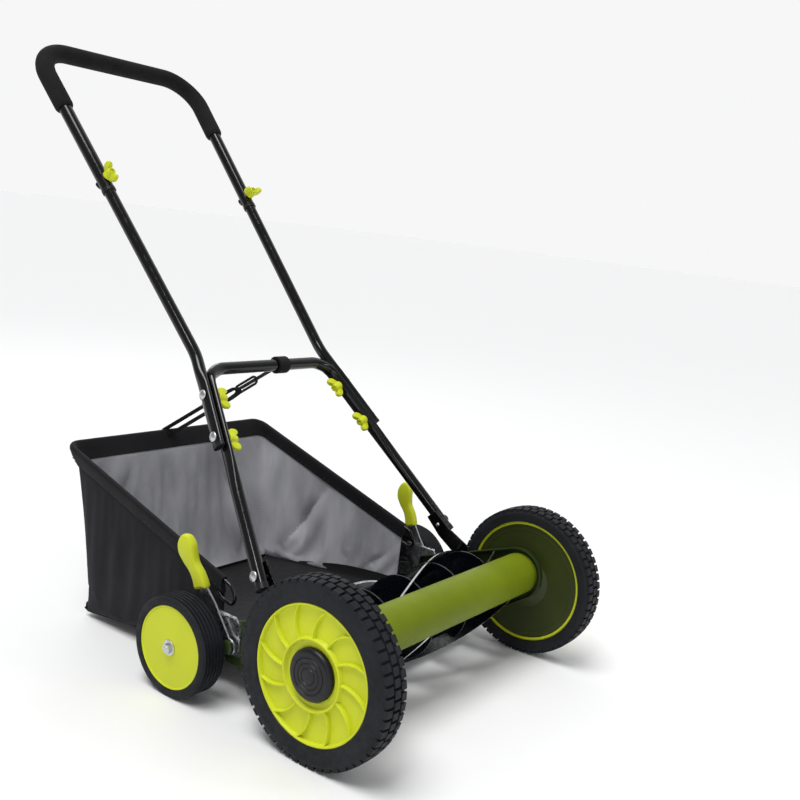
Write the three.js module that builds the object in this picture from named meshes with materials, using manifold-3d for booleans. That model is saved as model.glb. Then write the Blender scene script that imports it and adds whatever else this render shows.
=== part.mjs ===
// Push reel mower: a five-blade helical reel driven by ring gears in the front wheels, rear wheels
// on height levers, a tubular handle and a grass bag that lifts off behind.
// Millimetres, +Z up. The mower faces -Y, +X is its left-hand side, and the floor is Z = 0.
// Everything is built around the front axle line, and the last group moves it over the origin.
import * as THREE from "three";
import { mergeVertices } from "three/addons/utils/BufferGeometryUtils.js";
import Module from "manifold-3d";

const wasm = await Module();
wasm.setup();

// ---------- driving dimensions ----------
const GAP = 0.3; // clearance between pieces that touch
const GEAR_GAP = 0.7;

const FRONT_R = 127;
const FRONT_WIDTH = 41.6;
const FRONT_OUTER = 292; // |x| of the front tyre's outer face
const RIM_R = 94.8;
const DRUM_R = 104.2; // the wheel's inner drum, wider than its outer rim
const FRONT_AXLE_R = 8;
const WHEEL_SIDES = 32;

const REAR_R = 75;
const REAR_WIDTH = 39.3;
const REAR_OUTER = 297.6;
const REAR_DISC_R = 61.4;
const REAR_AXLE_Y = 260;
const REAR_AXLE_R = 6;

const PLATE_IN = 238; // |x| of the side plate's inner face
const PLATE_OUT = 241;
const FLANGE_IN = 230.4;
const FLANGE_WALL = 2.5;
const NOSE = { y: 3, z: 145, r: 44.5 }; // round the front tube's end
const LOBE = { y: 75, z: 105, r: 54 };
const TAIL_LOW = { y: 196, z: 70, r: 12 };
const TAIL_TOP = { y: 200, z: 112, r: 7 };

const TUBE_R = 35;
const TUBE_WALL = 1.6;
const REEL_CLEARANCE = 3;

const GEAR_MODULE = 3;
const RING_TEETH = 62;
const PINION_TEETH = 10;
const CENTRES = ((RING_TEETH - PINION_TEETH) * GEAR_MODULE) / 2;
const REEL_DROP = Math.asin(21.95 / CENTRES); // the reel axis sits behind and below the axle
const REEL_Y = CENTRES * Math.cos(REEL_DROP);
const REEL_Z = FRONT_R - CENTRES * Math.sin(REEL_DROP);
const REEL_R = 72;
const BLADE_DEPTH = 19;
const BLADE_THICK = 3;
const BLADE_END = 227.5;
const BLADES = 5;
const BLADE_TWIST = THREE.MathUtils.degToRad(-0.3); // per millimetre along +X
const BLADE_PHASE = THREE.MathUtils.degToRad(106);
const DISC_R = 66;
const DISC_THICK = 3;
const DISC_STEP = 92;
const SHAFT_R = 8;

const HANDLE_SLOPE = THREE.MathUtils.degToRad(46.9);
const FOOT_Y = 174; // where the handle's plane starts, just above the side plates
const FOOT_Z = 205.7;
const LOWER_R = 10;
const MIDDLE_R = 9.6;
const UPPER_R = 11;
const TUBE_SKIN = 1.3;
const GRIP_R = 15.5;
const LEG_END = -34; // distances along the handle's plane from its foot
const LEG_BOLT = -14;
const LOW_JOINT = 207;
const HIGH_JOINT = 280;
const CROSSBAR = 329;
const MIDDLE_END = 194;
const MIDDLE_BEND = 356;
const SLEEVE_END = 676;
const UPPER_BOLT = 698;
const GRIP_START = 850;
const HANDLE_TOP = 984;
const TOP_X = 165; // half width where the grip starts

const PIVOT = { y: 190, z: 88 }; // height lever pivot
const LEVER_IN = 248;
const LEVER_OUT = 251;
const LEVER_LEAN = 0.13; // outward lean of the lever per millimetre of length
const NOTCHES = 6;

const BAG_HALF = 219; // half width over the bag's rim
const RIM_FRONT = { y: 240, z: 166 };
const RIM_REAR = { y: 627, z: 283 };
const WIRE_R = 4;
const BAG_FLOOR_HALF = 214;
const FABRIC_THICK = 1.8;
const STRAP_WIDTH = 14;

// ---------- materials ----------
const finish = (color, roughness, metalness = 0) =>
  new THREE.MeshStandardMaterial({ color, roughness, metalness });
const MATERIALS = {
  lime: finish(0xbfcf2c, 0.35),
  limePaint: finish(0x8f9f30, 0.3, 0.1),
  greenPaint: finish(0x27401f, 0.4, 0.2),
  blackPaint: finish(0x141414, 0.25, 0.3),
  blackPlastic: finish(0x1a1a1a, 0.5),
  rubber: finish(0x2b2b2d, 0.8),
  foam: finish(0x1d1d1d, 0.95),
  reelSteel: finish(0x20242a, 0.35, 0.6),
  zinc: finish(0xb9bcc0, 0.35, 0.9),
  fabric: finish(0x2a2a2c, 0.95),
};

// ---------- solids ----------
// A closed three.js geometry as a manifold, whichever way its faces point.
function solid(geometry) {
  const bare = geometry.index ? geometry.toNonIndexed() : geometry.clone();
  bare.deleteAttribute("normal");
  bare.deleteAttribute("uv");
  const merged = mergeVertices(bare, 1e-3);
  const vertProperties = new Float32Array(merged.attributes.position.array);
  const triVerts = new Uint32Array(merged.index.array);
  if (signedVolume(vertProperties, triVerts) < 0) {
    for (let i = 0; i < triVerts.length; i += 3) {
      [triVerts[i], triVerts[i + 1]] = [triVerts[i + 1], triVerts[i]];
    }
  }
  return new wasm.Manifold(new wasm.Mesh({ numProp: 3, vertProperties, triVerts }));
}

function signedVolume(points, triangles) {
  const [a, b, c] = [new THREE.Vector3(), new THREE.Vector3(), new THREE.Vector3()];
  let six = 0;
  for (let i = 0; i < triangles.length; i += 3) {
    a.fromArray(points, triangles[i] * 3);
    b.fromArray(points, triangles[i + 1] * 3);
    c.fromArray(points, triangles[i + 2] * 3);
    six += a.dot(b.cross(c));
  }
  return six / 6;
}

const join = (...solids) => solids.reduce((all, next) => all.add(next));
const cut = (body, ...tools) => tools.reduce((rest, tool) => rest.subtract(tool), body);

function geometryOf(body) {
  const mesh = body.getMesh();
  const position = new Float32Array(mesh.numVert * 3);
  for (let i = 0; i < mesh.numVert; i++) {
    position.set(mesh.vertProperties.subarray(i * mesh.numProp, i * mesh.numProp + 3), i * 3);
  }
  const geometry = new THREE.BufferGeometry();
  geometry.setAttribute("position", new THREE.BufferAttribute(position, 3));
  geometry.setIndex(new THREE.BufferAttribute(new Uint32Array(mesh.triVerts), 1));
  const flat = geometry.toNonIndexed();
  flat.computeVertexNormals();
  return flat;
}

// A profile of [x, radius] points turned about a line along X.
function turned(profile, y, z, segments) {
  const points = profile.map(([x, radius]) => new THREE.Vector2(radius, x));
  const geometry = new THREE.LatheGeometry(points, segments);
  geometry.rotateZ(-Math.PI / 2);
  geometry.translate(0, y, z);
  return solid(geometry);
}

function rodX(y, z, radius, x0, x1, segments = 16) {
  return turned([[x0, 0], [x0, radius], [x1, radius], [x1, 0]], y, z, segments);
}

// A straight round bar between two points.
function rodBetween(from, to, radius, segments = 12) {
  const along = new THREE.Vector3().subVectors(to, from);
  const geometry = new THREE.CylinderGeometry(radius, radius, along.length(), segments);
  const up = new THREE.Vector3(0, 1, 0);
  geometry.applyQuaternion(new THREE.Quaternion().setFromUnitVectors(up, along.clone().normalize()));
  geometry.translate(...new THREE.Vector3().addVectors(from, to).multiplyScalar(0.5).toArray());
  return solid(geometry);
}

// A shape drawn in (y, z) and extruded from x0 to x1.
function plate(shape, x0, x1) {
  const options = { depth: x1 - x0, bevelEnabled: false };
  const geometry = new THREE.ExtrudeGeometry(shape, options);
  const y = new THREE.Vector3(0, 1, 0);
  const z = new THREE.Vector3(0, 0, 1);
  const x = new THREE.Vector3(1, 0, 0);
  geometry.applyMatrix4(new THREE.Matrix4().makeBasis(y, z, x));
  geometry.translate(x0, 0, 0);
  return solid(geometry);
}

const outline = (points) => new THREE.Shape(points.map(([y, z]) => new THREE.Vector2(y, z)));

function circle(y, z, radius, count) {
  const angles = Array.from({ length: count }, (_, i) => (2 * Math.PI * i) / count);
  return outline(angles.map((a) => [y + radius * Math.cos(a), z + radius * Math.sin(a)]));
}

// The outline of a belt around circles that follow each other anticlockwise.
function belt(circles, inset = 0, step = THREE.MathUtils.degToRad(15)) {
  const points = [];
  const count = circles.length;
  const angles = circles.map((circle, i) => {
    const next = circles[(i + 1) % count];
    const dy = next.y - circle.y;
    const dz = next.z - circle.z;
    return Math.atan2(dz, dy) - Math.acos((circle.r - next.r) / Math.hypot(dy, dz));
  });
  circles.forEach((circle, i) => {
    const start = angles[(i + count - 1) % count];
    const sweep = THREE.MathUtils.euclideanModulo(angles[i] - start, 2 * Math.PI);
    const pieces = Math.ceil(sweep / step);
    for (let k = 0; k <= pieces; k++) {
      const angle = start + (sweep * k) / pieces;
      const radius = circle.r - inset;
      points.push([circle.y + radius * Math.cos(angle), circle.z + radius * Math.sin(angle)]);
    }
  });
  return outline(points);
}

// A curve through fixed stations, so that an extrusion steps exactly from one to the next.
class Route extends THREE.Curve {
  constructor(stations) {
    super();
    this.stations = stations;
  }
  getPoint(t, target = new THREE.Vector3()) {
    const last = this.stations.length - 1;
    const at = Math.min(Math.max(t, 0), 1) * last;
    const i = Math.min(Math.floor(at), last - 1);
    return target.lerpVectors(this.stations[i], this.stations[i + 1], at - i);
  }
  getPointAt(t, target) {
    return this.getPoint(t, target);
  }
  getTangent(t, target = new THREE.Vector3()) {
    const last = this.stations.length - 1;
    const i = Math.round(t * last);
    const from = this.stations[Math.max(i - 1, 0)];
    const here = this.stations[i];
    const to = this.stations[Math.min(i + 1, last)];
    const before = new THREE.Vector3().subVectors(here, from).normalize();
    const after = new THREE.Vector3().subVectors(to, here).normalize();
    return target.addVectors(before, after).normalize();
  }
  getTangentAt(t, target) {
    return this.getTangent(t, target);
  }
}

// Corner points joined by straight runs, with each inner corner rounded to its own radius. A corner
// of radius 0 is kept as a station.
function rounded(corners, radii, steps = 5) {
  const stations = [corners[0]];
  for (let i = 1; i < corners.length - 1; i++) {
    if (radii[i - 1] === 0) {
      stations.push(corners[i]);
      continue;
    }
    const into = new THREE.Vector3().subVectors(corners[i - 1], corners[i]).normalize();
    const out = new THREE.Vector3().subVectors(corners[i + 1], corners[i]).normalize();
    const half = into.angleTo(out) / 2;
    const reach = radii[i - 1] / Math.tan(half);
    const middle = new THREE.Vector3().addVectors(into, out).normalize();
    const centre = middle.multiplyScalar(radii[i - 1] / Math.sin(half)).add(corners[i]);
    const first = into.clone().multiplyScalar(reach).add(corners[i]).sub(centre);
    const last = out.clone().multiplyScalar(reach).add(corners[i]).sub(centre);
    const sweep = Math.PI - 2 * half;
    for (let k = 0; k <= steps; k++) {
      const a = Math.sin(((steps - k) / steps) * sweep) / Math.sin(sweep);
      const b = Math.sin((k / steps) * sweep) / Math.sin(sweep);
      const spoke = first.clone().multiplyScalar(a).addScaledVector(last, b);
      stations.push(spoke.add(centre));
    }
  }
  stations.push(corners[corners.length - 1]);
  return new Route(stations);
}

// A tube along a route, hollow when it has an inner radius.
function tubeAlong(route, radius, inner = 0, sides = 8) {
  const ring = (r) =>
    Array.from({ length: sides }, (_, i) => {
      const angle = (2 * Math.PI * (i + 0.5)) / sides;
      return new THREE.Vector2(r * Math.cos(angle), r * Math.sin(angle));
    });
  const section = new THREE.Shape(ring(radius));
  if (inner > 0) section.holes.push(new THREE.Path(ring(inner).reverse()));
  const options = { steps: route.stations.length - 1, bevelEnabled: false, extrudePath: route };
  return solid(new THREE.ExtrudeGeometry(section, options));
}

// A point on the handle's plane: x across, s along the slope, n out of the plane's upper face.
function onHandle(x, s, n = 0) {
  const cos = Math.cos(HANDLE_SLOPE);
  const sin = Math.sin(HANDLE_SLOPE);
  return new THREE.Vector3(x, FOOT_Y + s * cos - n * sin, FOOT_Z + s * sin + n * cos);
}

// ---------- the scene graph ----------
const mower = new THREE.Group();
const rightSide = new THREE.Group();
rightSide.scale.x = -1;
const leftSide = new THREE.Group();
mower.add(leftSide, rightSide);

function addMesh(group, name, body, material) {
  const mesh = new THREE.Mesh(geometryOf(body), material);
  mesh.name = name;
  group.add(mesh);
}
const add = (name, body, material) => addMesh(mower, name, body, material);

// One piece on each side: drawn at +X and mirrored at -X.
function addPair(name, body, material) {
  addMesh(leftSide, name + "_left", body, material);
  addMesh(rightSide, name + "_right", body, material);
}

// ---------- side plates, tube and fixed bars ----------
const BAR_WIDTH = 32; // handle bracket, a bent bar inside each plate that narrows towards its top
const BAR_THICK = 4;
const LEG_SPREAD = 0.257; // the lower legs spread towards the plates
const LEG_FOOT_X = 222.5;
const legX = (s) => LEG_FOOT_X - LEG_SPREAD * s;

// A point beside the leg: s along it, and out sideways from its centre at right angles to it.
function besideLeg(s, out) {
  const unit = Math.hypot(1, LEG_SPREAD);
  return onHandle(legX(s) + out / unit, s + (out * LEG_SPREAD) / unit);
}

function handleBracket() {
  const inner = LOWER_R + GAP;
  const flatX = PLATE_IN - BAR_THICK / 2 + 0.01;
  const along = [
    [flatX, -100],
    [flatX, -74],
    [legX(-24) - inner - BAR_THICK / 2, -34],
    [legX(14) - inner - BAR_THICK / 2, 14],
  ];
  const half = BAR_THICK / 2;
  const side = [...along.map(([x, s]) => [x - half, s]), ...along.reverse().map(([x, s]) => [x + half, s])];
  const shape = new THREE.Shape(side.map(([x, s]) => new THREE.Vector2(x, s)));
  const options = { depth: BAR_WIDTH, bevelEnabled: false };
  const geometry = new THREE.ExtrudeGeometry(shape, options);
  const x = new THREE.Vector3(1, 0, 0);
  const s = onHandle(0, 1).sub(onHandle(0, 0));
  const n = new THREE.Vector3().crossVectors(x, s);
  geometry.translate(0, 0, -BAR_WIDTH / 2);
  const corners = geometry.getAttribute("position");
  for (let i = 0; i < corners.count; i += 1) {
    const narrow = THREE.MathUtils.mapLinear(Math.max(corners.getY(i), -74), -74, 14, 1, 0.6);
    corners.setZ(i, corners.getZ(i) * narrow);
  }
  geometry.applyMatrix4(new THREE.Matrix4().makeBasis(x, s, n));
  geometry.translate(0, FOOT_Y, FOOT_Z);
  return solid(geometry);
}

const PLATE_CIRCLES = [NOSE, LOBE, TAIL_LOW, TAIL_TOP];
const BEARING_R = 17;
const TIE_ROD = { y: 176, z: 69, r: 6 };
const PIVOT_R = 7;

function sidePlate() {
  const sheet = plate(belt(PLATE_CIRCLES), PLATE_IN, PLATE_OUT);
  const rimOuter = plate(belt(PLATE_CIRCLES), FLANGE_IN, PLATE_IN);
  const rimInner = plate(belt(PLATE_CIRCLES, FLANGE_WALL), FLANGE_IN - 1, PLATE_IN + 1);
  const flange = cut(rimOuter, rimInner);
  const pivotStud = turned(
    [[PLATE_IN, 0], [PLATE_IN, PIVOT_R], [252.6, PIVOT_R], [252.6, 11], [256.6, 9], [256.6, 0]],
    PIVOT.y,
    PIVOT.z,
    14,
  );
  const axleHole = rodX(0, FRONT_R, 6 + GAP, PLATE_IN - 2, PLATE_OUT + 2);
  const bearingHole = rodX(REEL_Y, REEL_Z, BEARING_R + GAP, PLATE_IN - 2, PLATE_OUT + 2, 20);
  return cut(join(sheet, flange, handleBracket(), pivotStud), axleHole, bearingHole, legBoltHole());
}

function legBoltHole() {
  return rodBetween(besideLeg(LEG_BOLT, -24), besideLeg(LEG_BOLT, 24), 3.6, 6);
}

addPair("side_plate", sidePlate(), MATERIALS.greenPaint);

const tubeEnd = PLATE_IN - GAP;

// The front tube is open behind, where the reel turns inside its back edges.
function frontTube() {
  const outer = circle(NOSE.y, NOSE.z, TUBE_R, 40);
  const inner = circle(NOSE.y, NOSE.z, TUBE_R - TUBE_WALL, 40);
  const pipe = cut(plate(outer, -tubeEnd, tubeEnd), plate(inner, -tubeEnd - 1, tubeEnd + 1));
  const opening = circle(REEL_Y, REEL_Z, REEL_R + REEL_CLEARANCE, 40);
  return cut(pipe, plate(opening, -tubeEnd - 1, tubeEnd + 1));
}
add("front_tube", frontTube(), MATERIALS.limePaint);

const tieRod = rodX(TIE_ROD.y, TIE_ROD.z, TIE_ROD.r, -tubeEnd, tubeEnd, 14);
add("rear_tie_rod", tieRod, MATERIALS.blackPaint);

// The bed knife's front edge runs just under the reel, and the cutter bar carries it.
const KNIFE_TOP = REEL_Z - REEL_R - GEAR_GAP;
const KNIFE_END = FLANGE_IN - 0.5;
const knifeShape = outline([
  [REEL_Y + 5, KNIFE_TOP],
  [REEL_Y + 12, KNIFE_TOP - 3],
  [REEL_Y + 57, KNIFE_TOP - 3],
  [REEL_Y + 57, KNIFE_TOP],
]);
add("bed_knife", plate(knifeShape, -KNIFE_END, KNIFE_END), MATERIALS.zinc);

const barBase = KNIFE_TOP + GAP;
const cutterBarShape = outline([
  [REEL_Y + 26, barBase],
  [REEL_Y + 58, barBase],
  [REEL_Y + 84, barBase + 29],
  [REEL_Y + 81, barBase + 31],
  [REEL_Y + 56, barBase + 4],
  [REEL_Y + 26, barBase + 3],
]);
add("cutter_bar", plate(cutterBarShape, -KNIFE_END, KNIFE_END), MATERIALS.blackPaint);

// ---------- reel ----------
function reelBearing() {
  const profile = [
    [PLATE_IN - 5, SHAFT_R + GAP],
    [PLATE_IN - 5, BEARING_R + 5],
    [PLATE_IN - GAP, BEARING_R + 5],
    [PLATE_IN - GAP, BEARING_R],
    [PLATE_OUT + 6, BEARING_R],
    [PLATE_OUT + 6, SHAFT_R + GAP],
    [PLATE_IN - 5, SHAFT_R + GAP],
  ];
  return turned(profile, REEL_Y, REEL_Z, 16);
}
addPair("reel_bearing", reelBearing(), MATERIALS.zinc);

// A helical blade: its section turns about the reel's axis as it runs along X.
function blade(index, grow = 0) {
  const steps = 16;
  const outer = REEL_R + grow;
  const inner = REEL_R - BLADE_DEPTH - grow;
  const half = BLADE_THICK / 2 + grow;
  const end = BLADE_END + grow;
  const positions = [];
  const rings = [];
  for (let i = 0; i <= steps; i++) {
    const x = -end + (2 * end * i) / steps;
    const angle = BLADE_PHASE + BLADE_TWIST * x + (2 * Math.PI * index) / BLADES;
    const out = new THREE.Vector3(0, Math.cos(angle), Math.sin(angle));
    const across = new THREE.Vector3(0, -Math.sin(angle), Math.cos(angle));
    const corner = (radius, side) =>
      new THREE.Vector3(x, REEL_Y, REEL_Z).addScaledVector(out, radius).addScaledVector(across, side);
    const chord = Math.sqrt(outer * outer - half * half);
    rings.push([corner(chord, half), corner(chord, -half), corner(inner, -half), corner(inner, half)]);
  }
  const quad = (a, b, c, d) => [a, b, c, a, c, d].forEach((p) => positions.push(p.x, p.y, p.z));
  for (let i = 0; i < steps; i++) {
    for (let k = 0; k < 4; k++) {
      const next = (k + 1) % 4;
      quad(rings[i][k], rings[i][next], rings[i + 1][next], rings[i + 1][k]);
    }
  }
  quad(...[...rings[0]].reverse());
  quad(...rings[steps]);
  const geometry = new THREE.BufferGeometry();
  geometry.setAttribute("position", new THREE.Float32BufferAttribute(positions, 3));
  return solid(geometry);
}

const bladeNumbers = Array.from({ length: BLADES }, (_, i) => i);

function reelShaft() {
  const shaftEnd = 271;
  let body = rodX(REEL_Y, REEL_Z, SHAFT_R, -shaftEnd, shaftEnd, 16);
  for (let i = -2; i <= 2; i++) {
    const x = i * DISC_STEP;
    body = body.add(rodX(REEL_Y, REEL_Z, DISC_R, x - DISC_THICK / 2, x + DISC_THICK / 2, 24));
  }
  return cut(body, ...bladeNumbers.map((i) => blade(i, GAP)));
}
add("reel_shaft", reelShaft(), MATERIALS.reelSteel);
bladeNumbers.forEach((i) => add("reel_blade_" + (i + 1), blade(i), MATERIALS.reelSteel));

// ---------- gears ----------
const TOOTH = { addendum: 2.4, dedendum: 3, tip: 1.1, root: 2.5 }; // half widths at tip and root

// A gear outline in (y, z) about its own centre: direction +1 points its teeth out, -1 in.
function gearPath(teeth, direction, phase) {
  const pitch = (teeth * GEAR_MODULE) / 2;
  const tipR = pitch + direction * TOOTH.addendum;
  const rootR = pitch - direction * TOOTH.dedendum;
  const points = [];
  for (let i = 0; i < teeth; i++) {
    const middle = phase + (2 * Math.PI * i) / teeth;
    const corners = [
      [rootR, -TOOTH.root],
      [tipR, -TOOTH.tip],
      [tipR, TOOTH.tip],
      [rootR, TOOTH.root],
    ];
    corners.forEach(([radius, half]) => {
      const angle = middle + half / radius;
      points.push([radius * Math.cos(angle), radius * Math.sin(angle)]);
    });
  }
  return points;
}

const towardsReel = -REEL_DROP; // direction from the axle to the reel's axis in the (y, z) plane
const GEAR_IN = 259.5;
const GEAR_OUT = 269.5;

function pinion() {
  const points = gearPath(PINION_TEETH, 1, towardsReel).map(([y, z]) => [y + REEL_Y, z + REEL_Z]);
  const teeth = plate(outline(points), GEAR_IN, GEAR_OUT);
  const hub = rodX(REEL_Y, REEL_Z, 11.5, 257.2, GEAR_OUT, 16);
  return cut(join(teeth, hub), rodX(REEL_Y, REEL_Z, SHAFT_R + GAP, 250, 280, 16));
}
addPair("pinion", pinion(), MATERIALS.zinc);

// ---------- front wheels ----------
const tyreInner = FRONT_OUTER - FRONT_WIDTH;
const STEP_X = 272; // where the drum narrows to the outer rim

function frontTyre() {
  const profile = [
    [tyreInner, DRUM_R + GAP],
    [tyreInner, 119],
    [tyreInner + 5, FRONT_R],
    [FRONT_OUTER - 5, FRONT_R],
    [FRONT_OUTER, 119],
    [FRONT_OUTER, RIM_R + GAP],
    [STEP_X + GAP, RIM_R + GAP],
    [STEP_X + GAP, DRUM_R + GAP],
    [tyreInner, DRUM_R + GAP],
  ];
  return turned(profile, 0, FRONT_R, WHEEL_SIDES);
}
addPair("front_tyre", frontTyre(), MATERIALS.rubber);

const WEB_IN = 280;
const WEB_OUT = 284; // |x| of the web's outer face
const HUB_RING_R = 49;
const CAP_R = 37;
const RIB_COUNT = 12;
const DRUM_IN = 254;

// One curved rib of the wheel's outer face, swept like a turbine vane.
function wheelRib(index) {
  const count = 2;
  const ridge = [];
  for (let i = 0; i <= count; i++) {
    const t = i / count;
    const radius = THREE.MathUtils.lerp(HUB_RING_R - 2, 89.5, t);
    const angle = (2 * Math.PI * index) / RIB_COUNT + 0.62 * t * t;
    ridge.push([radius, angle]);
  }
  const edge = (side) =>
    ridge.map(([radius, angle]) => {
      const a = angle + (side * 1.6) / radius;
      return [radius * Math.cos(a), FRONT_R + radius * Math.sin(a)];
    });
  return plate(outline([...edge(-1), ...edge(1).reverse()]), WEB_OUT - 0.5, WEB_OUT + 4.5);
}

function frontWheel() {
  const hubBore = FRONT_AXLE_R + GAP;
  const DRUM_WALL = DRUM_R - 3;
  const profile = [
    [DRUM_IN, DRUM_WALL],
    [DRUM_IN, DRUM_R],
    [STEP_X, DRUM_R],
    [STEP_X, RIM_R],
    [FRONT_OUTER - 1, RIM_R],
    [FRONT_OUTER - 1, RIM_R - 6],
    [WEB_OUT, RIM_R - 9],
    [WEB_OUT, HUB_RING_R],
    [FRONT_OUTER - 2.5, HUB_RING_R - 1.5],
    [FRONT_OUTER - 2.5, CAP_R + 1.2],
    [WEB_OUT, CAP_R + 1.2],
    [WEB_OUT, hubBore],
    [GEAR_IN, hubBore],
    [GEAR_IN, 17],
    [WEB_IN, 19],
    [WEB_IN, RIM_R - 4],
    [GEAR_OUT, RIM_R - 3],
    [GEAR_OUT, DRUM_WALL],
    [DRUM_IN, DRUM_WALL],
  ];
  const ribs = Array.from({ length: RIB_COUNT }, (_, i) => wheelRib(i));
  const ringOuter = circle(0, FRONT_R, DRUM_R - 1.5, WHEEL_SIDES);
  const gap = Math.PI / RING_TEETH; // a space between two teeth faces the pinion
  const teeth = gearPath(RING_TEETH, -1, towardsReel + gap).map(([y, z]) => [y, z + FRONT_R]);
  ringOuter.holes.push(new THREE.Path(teeth.map(([y, z]) => new THREE.Vector2(y, z))));
  const ringGear = plate(ringOuter, GEAR_IN, GEAR_OUT + 0.5);
  return join(turned(profile, 0, FRONT_R, WHEEL_SIDES), ringGear, ...ribs);
}
addPair("front_wheel", frontWheel(), MATERIALS.lime);

function hubCap() {
  const profile = [
    [WEB_OUT + GAP, CAP_R - 3],
    [WEB_OUT + GAP, CAP_R],
    [FRONT_OUTER - 1, CAP_R],
    [FRONT_OUTER + 0.5, CAP_R - 3],
    [FRONT_OUTER + 3, 18],
    [FRONT_OUTER + 3.5, 0],
    [FRONT_OUTER - 0.5, 0],
    [FRONT_OUTER - 1.5, CAP_R - 3],
    [WEB_OUT + GAP, CAP_R - 3],
  ];
  return turned(profile, 0, FRONT_R, 24);
}
addPair("hub_cap", hubCap(), MATERIALS.blackPlastic);

// The axle bolt: head outside the hub, journal in the wheel, nut inside the front tube.
function frontAxle() {
  const headIn = WEB_OUT + GAP;
  const profile = [
    [PLATE_IN - 8, 0],
    [PLATE_IN - 8, 10],
    [PLATE_IN - GAP, 10],
    [PLATE_IN - GAP, 6],
    [PLATE_OUT + GAP, 6],
    [PLATE_OUT + GAP, FRONT_AXLE_R],
    [headIn, FRONT_AXLE_R],
    [headIn, 12],
    [headIn + 3.2, 12],
    [headIn + 3.2, 0],
  ];
  return turned(profile, 0, FRONT_R, 12);
}
addPair("front_axle", frontAxle(), MATERIALS.zinc);

// A fixed dished cover closes each wheel's gear drum.
function gearCover() {
  const profile = [
    [PLATE_OUT + GAP, 10],
    [PLATE_OUT + GAP, 26],
    [255.5, 44],
    [255.5, 100],
    [257, 100],
    [257, 46],
    [PLATE_OUT + 2 + GAP, 27],
    [PLATE_OUT + 2 + GAP, 10],
    [PLATE_OUT + GAP, 10],
  ];
  const dish = turned(profile, 0, FRONT_R, 28);
  return cut(dish, rodX(REEL_Y, REEL_Z, BEARING_R + 2, 240, 262, 18));
}
addPair("gear_cover", gearCover(), MATERIALS.lime);

// ---------- height levers and rear wheels ----------
const NOTCH_TOP = 131;
const LEVER_ANGLE = THREE.MathUtils.degToRad(52);

function heightQuadrant() {
  const inner = PLATE_OUT + GAP;
  const outer = inner + 3;
  const sheet = outline([
    [174, 74],
    [206, 74],
    [246, 108],
    [246, NOTCH_TOP],
    [186, NOTCH_TOP],
    [174, 118],
  ]);
  const shelf = outline([
    [186, NOTCH_TOP - 2.5],
    [246, NOTCH_TOP - 2.5],
    [246, NOTCH_TOP],
    [186, NOTCH_TOP],
  ]);
  let body = join(plate(sheet, inner, outer), plate(shelf, outer - 1, LEVER_IN - GAP));
  for (let i = 0; i < NOTCHES; i++) {
    const y = 192 + i * 9;
    const bite = outline([
      [y, NOTCH_TOP - 4],
      [y + 4.5, NOTCH_TOP - 4],
      [y + 4.5, NOTCH_TOP + 2],
      [y, NOTCH_TOP + 2],
    ]);
    body = body.subtract(plate(bite, outer + 0.3, LEVER_IN + 1));
  }
  return cut(body, rodX(PIVOT.y, PIVOT.z, PIVOT_R + GAP, inner - 1, outer + 1, 16));
}
addPair("height_quadrant", heightQuadrant(), MATERIALS.zinc);

// Points along the lever, from its pivot: along the strip and across it, leaning out in x.
function onLever(along, across) {
  const cos = Math.cos(LEVER_ANGLE);
  const sin = Math.sin(LEVER_ANGLE);
  return [PIVOT.y + along * cos - across * sin, PIVOT.z + along * sin + across * cos];
}

// Shears a body outwards above the notches, as the spring strip leans away from the plate.
function leanOut(body, from) {
  const mesh = body.getMesh();
  const points = new Float32Array(mesh.vertProperties);
  const cos = Math.cos(LEVER_ANGLE);
  const sin = Math.sin(LEVER_ANGLE);
  for (let i = 0; i < points.length; i += mesh.numProp) {
    const along = (points[i + 1] - PIVOT.y) * cos + (points[i + 2] - PIVOT.z) * sin;
    points[i] += Math.max(0, along - from) * LEVER_LEAN;
  }
  return new wasm.Manifold(new wasm.Mesh({ numProp: 3, vertProperties: points, triVerts: mesh.triVerts }));
}

const AXLE_HUB_R = 11;
const STRIP_HALF = 8;
const STRIP_TOP = 96;
const LEAN_FROM = 64;

function heightLever() {
  const hub = { y: PIVOT.y, z: PIVOT.z, r: 12.5 };
  const axle = { y: REAR_AXLE_Y, z: REAR_R, r: AXLE_HUB_R };
  const arm = plate(belt([hub, axle]), LEVER_IN, LEVER_OUT);
  const strip = (from, to) =>
    outline([
      onLever(from, -STRIP_HALF),
      onLever(to, -STRIP_HALF),
      onLever(to, STRIP_HALF),
      onLever(from, STRIP_HALF),
    ]);
  const straight = plate(strip(0, LEAN_FROM), LEVER_IN, LEVER_OUT);
  const leaning = leanOut(plate(strip(LEAN_FROM, STRIP_TOP), LEVER_IN, LEVER_OUT), LEAN_FROM);
  const lever = straight.add(leaning);
  const stub = turned(
    [
      [LEVER_OUT - 1, 0],
      [LEVER_OUT - 1, REAR_AXLE_R],
      [REAR_OUTER - 1, REAR_AXLE_R],
      [REAR_OUTER - 1, 11],
      [REAR_OUTER + 0.6, 11],
      [REAR_OUTER + 0.6, 8.4],
      [REAR_OUTER + 5.5, 8.4],
      [REAR_OUTER + 5.5, 4],
      [REAR_OUTER + 7, 4],
      [REAR_OUTER + 7, 0],
    ],
    REAR_AXLE_Y,
    REAR_R,
    12,
  );
  const bore = rodX(PIVOT.y, PIVOT.z, PIVOT_R + GAP, LEVER_IN - 1, LEVER_OUT + 1, 16);
  return cut(join(arm, lever, stub), bore);
}
addPair("height_lever", heightLever(), MATERIALS.zinc);

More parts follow.
